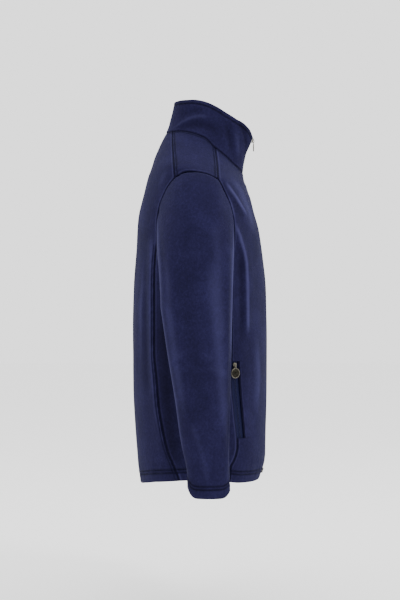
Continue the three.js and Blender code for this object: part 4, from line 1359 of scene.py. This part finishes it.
def scaledBy(add, shade, factor):
    return add("VectorMath", {0: shade, "Scale": factor}, operation="SCALE").outputs["Vector"]


def bumpOn(add, height, distance, strength, **more):
    inputs = {"Height": height, "Distance": distance * mm, "Strength": strength, **more}
    return add("Bump", inputs).outputs["Normal"]


# Brushed polyester fleece: short pile that scatters light, so it looks soft, mottled and paler at the rims
fleeceLook = {
    "dark": "#0f0e22",
    "base": "#17152f",
    "light": "#201e3d",
    "pileSize": 1.5,
    "clumpSize": 5,
    "patchSize": 60,
    "pileHeight": 0.55,
    "clumpHeight": 0.6,
    # colour scale at full painted shade, and the colour added at full painted highlight
    "paintedShadeLevel": 0.36,
    "paintedHighlightColour": "#2c2c46",
    "sheen": 0.05,
    "sheenColour": "#5560a0",
}


def fleeceMaterial():
    material, add = startMaterial("brushedPolyesterFleece")
    sizes = [fleeceLook[key] for key in ("pileSize", "clumpSize", "patchSize")]
    pile, clump, patch = [noiseOn(add, size, Detail=2, Roughness=0.6) for size in sizes]
    blended = mathOn(add, mathOn(add, pile, clump, "ADD"), patch, "ADD")
    third = mathOn(add, blended, 1 / 3, "MULTIPLY")
    base = rampOn(add, third, [(0.3, fleeceLook["dark"]), (0.5, fleeceLook["base"]), (0.7, fleeceLook["light"])])
    # painted shade darkens the colour where the attribute is below 0, and a painted highlight adds a paler colour
    # where it is above 0
    paintedLight = add("Attribute", attribute_name="paintedLight").outputs["Fac"]
    base = scaledBy(add, base, rangeOn(add, paintedLight, fleeceLook["paintedShadeLevel"], 1, **{"From Min": -1, "From Max": 0}))
    paintedHighlight = scaledBy(add, colour(fleeceLook["paintedHighlightColour"])[:3], rangeOn(add, paintedLight, 0, 1))
    base = add("VectorMath", {0: base, 1: paintedHighlight}, operation="ADD").outputs["Vector"]
    clumps = bumpOn(add, clump, fleeceLook["clumpHeight"], 0.8)
    looks = {
        "Base Color": base,
        "Roughness": 0.95,
        "Normal": bumpOn(add, pile, fleeceLook["pileHeight"], 0.9, Normal=clumps),
        "Specular IOR Level": 0.05,
        "Sheen Weight": fleeceLook["sheen"],
        "Sheen Roughness": 0.45,
        "Sheen Tint": colour(fleeceLook["sheenColour"]),
    }
    finishMaterial(add, looks)
    return material


# Woven polyester tape: fine herringbone ribs catch the light in thin lines
tapeLook = {"dark": "#0c0d24", "light": "#1b1d42", "rib": 1.3}


def tapeMaterial():
    material, add = startMaterial("wovenPolyesterTape")
    place = add("UVMap", uv_map="cloth").outputs["UV"]
    across = ribsOn(add, place, tapeLook["rib"], "Y", Distortion=0.6, Detail=1, **{"Detail Scale": 3})
    along = ribsOn(add, place, tapeLook["rib"] / 1.4, "X", Distortion=0.3)
    both = mathOn(add, across, along, "MULTIPLY")
    base = rampOn(add, both, [(0, tapeLook["dark"]), (0.9, tapeLook["light"])])
    bump = bumpOn(add, both, 0.25, 0.8)
    finishMaterial(add, {"Base Color": base, "Roughness": 0.8, "Specular IOR Level": 0.08, "Normal": bump})
    return material


# Spun polyester thread: a little smoother than the pile around it and twisted along its length
threadLook = {"dark": "#0a0b20", "light": "#141636", "twist": 0.5}


def threadMaterial():
    material, add = startMaterial("spunPolyesterThread")
    place = add("TexCoord").outputs["Object"]
    twist = ribsOn(add, place, threadLook["twist"], "DIAGONAL", Distortion=2)
    base = rampOn(add, twist, [(0, threadLook["dark"]), (1, threadLook["light"])])
    bump = bumpOn(add, twist, 0.08, 0.6)
    finishMaterial(add, {"Base Color": base, "Roughness": 0.75, "Specular IOR Level": 0.08, "Normal": bump})
    return material


# Moulded nylon coil: dark and slightly shiny, its turns read as a row of small highlights
coilLook = {"dark": "#0b0c22", "light": "#14163a", "grain": 2}


def coilMaterial():
    material, add = startMaterial("nylonCoil")
    noise = noiseOn(add, coilLook["grain"], Detail=2)
    base = rampOn(add, noise, [(0.3, coilLook["dark"]), (0.7, coilLook["light"])])
    rough = rangeOn(add, noise, 0.36, 0.5)
    finishMaterial(add, {"Base Color": base, "Roughness": rough, "Specular IOR Level": 0.12})
    return material


# Antique brass plate over cast zinc: brownish grey, its gloss broken by handling and its recesses tarnished
metalLook = {"dark": "#262522", "light": "#716d62", "patch": 3, "grain": 0.9, "tarnished": 0.14}


def metalMaterial():
    material, add = startMaterial("antiqueBrassPlate")
    broad = noiseOn(add, metalLook["patch"], Detail=4, Roughness=0.6)
    fine = noiseOn(add, metalLook["grain"], Detail=3)
    base = rampOn(add, broad, [(0.3, metalLook["dark"]), (0.62, metalLook["light"])])
    tarnish = add("Attribute", attribute_name="tarnish").outputs["Fac"]
    base = scaledBy(add, base, rangeOn(add, tarnish, 1, metalLook["tarnished"]))
    rough = rangeOn(add, fine, 0.24, 0.46)
    bump = bumpOn(add, fine, 0.04, 0.5)
    finishMaterial(add, {"Base Color": base, "Metallic": 1, "Roughness": rough, "Normal": bump})
    return material


fleece, tapeCloth, sewingThread = fleeceMaterial(), tapeMaterial(), threadMaterial()
coilNylon, brass = coilMaterial(), metalMaterial()
print("materials made")


# Each piece: its finish, its body, and the node that it stands for
def dress(made, material, body, nodeName=None):
    made.data.materials.clear()
    made.data.materials.append(material)
    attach(made, body)
    if nodeName:
        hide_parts(nodeName)


for nodeName, panel in {**panels, **sleeves}.items():
    dress(panel["object"], fleece, "jacket", nodeName)
for made in stitching.values():
    dress(made, sewingThread, "jacket")
for nodeName, made in tapes.items():
    dress(made, tapeCloth, "jacket", nodeName)
for made in coils:
    dress(made, coilNylon, "jacket")
pullBodies = {
    "front_pull": "front_pull",
    "pocket_pull_right": "right_pocket_pull",
    "pocket_pull_left": "left_pocket_pull",
}
for nodeName, made in metal.items():
    dress(made, brass, pullBodies.get(nodeName, "jacket"), nodeName)


# Camera, lights and floor
def lookFrom(made, at, towards):
    made.location = at
    made.rotation_euler = (Vector(towards) - Vector(at)).to_track_quat("-Z", "Y").to_euler()


view = {"from": (-3.7, 0, -0.225), "towards": (0, 0, -0.328), "lens": 108.3, "sensor": 36}
camera = bpy.data.objects.new("camera", bpy.data.cameras.new("camera"))
camera.data.lens = view["lens"]
camera.data.sensor_width = view["sensor"]
camera.data.sensor_fit = "AUTO"
camera.data.dof.use_dof = False
lookFrom(camera, view["from"], view["towards"])
bpy.context.collection.objects.link(camera)
bpy.context.scene.camera = camera

lamps = {
    # place, aimed at, size, power
    "key": ((-1.5, -2.1, 2.3), (0, -0.05, -0.2), 1.0, 60),
    "fill": ((-2.6, 1.9, 0.9), (0, 0, -0.35), 2.2, 8),
    "top": ((-0.3, 0.3, 2.4), (0, 0, -0.3), 1.6, 26),
    "rim": ((1.8, -1.8, 0.5), (0, 0, -0.3), 1.5, 5),
    "backRim": ((1.5, 2.2, 0.8), (0, 0, -0.3), 1.5, 8),
}
for name, (at, towards, size, power) in lamps.items():
    lamp = bpy.data.objects.new(name, bpy.data.lights.new(name, "AREA"))
    lamp.data.shape = "SQUARE"
    lamp.data.size = size
    lamp.data.energy = power
    lookFrom(lamp, at, towards)
    bpy.context.collection.objects.link(lamp)

world = bpy.data.worlds.new("studio")
world.use_nodes = True
world.node_tree.nodes["Background"].inputs["Color"].default_value = (1, 1, 1, 1)
world.node_tree.nodes["Background"].inputs["Strength"].default_value = 1.9
bpy.context.scene.world = world

floorHeight = -0.96
clearSelection()
bpy.ops.mesh.primitive_plane_add(size=16, location=(0, 0, floorHeight))
floor = bpy.context.object
floor.name = "floor"
floorMaterial, addToFloor = startMaterial("mattePaintedFloor")
finishMaterial(addToFloor, {"Base Color": colour("#fbfbfb"), "Roughness": 0.9})
floor.data.materials.append(floorMaterial)
floor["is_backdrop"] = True

bpy.context.view_layer.update()
plainBox = lambda box: [[round(float(c), 5) for c in corner] for corner in box]
{"cad": plainBox(cadBox), "visual": plainBox(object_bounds())}
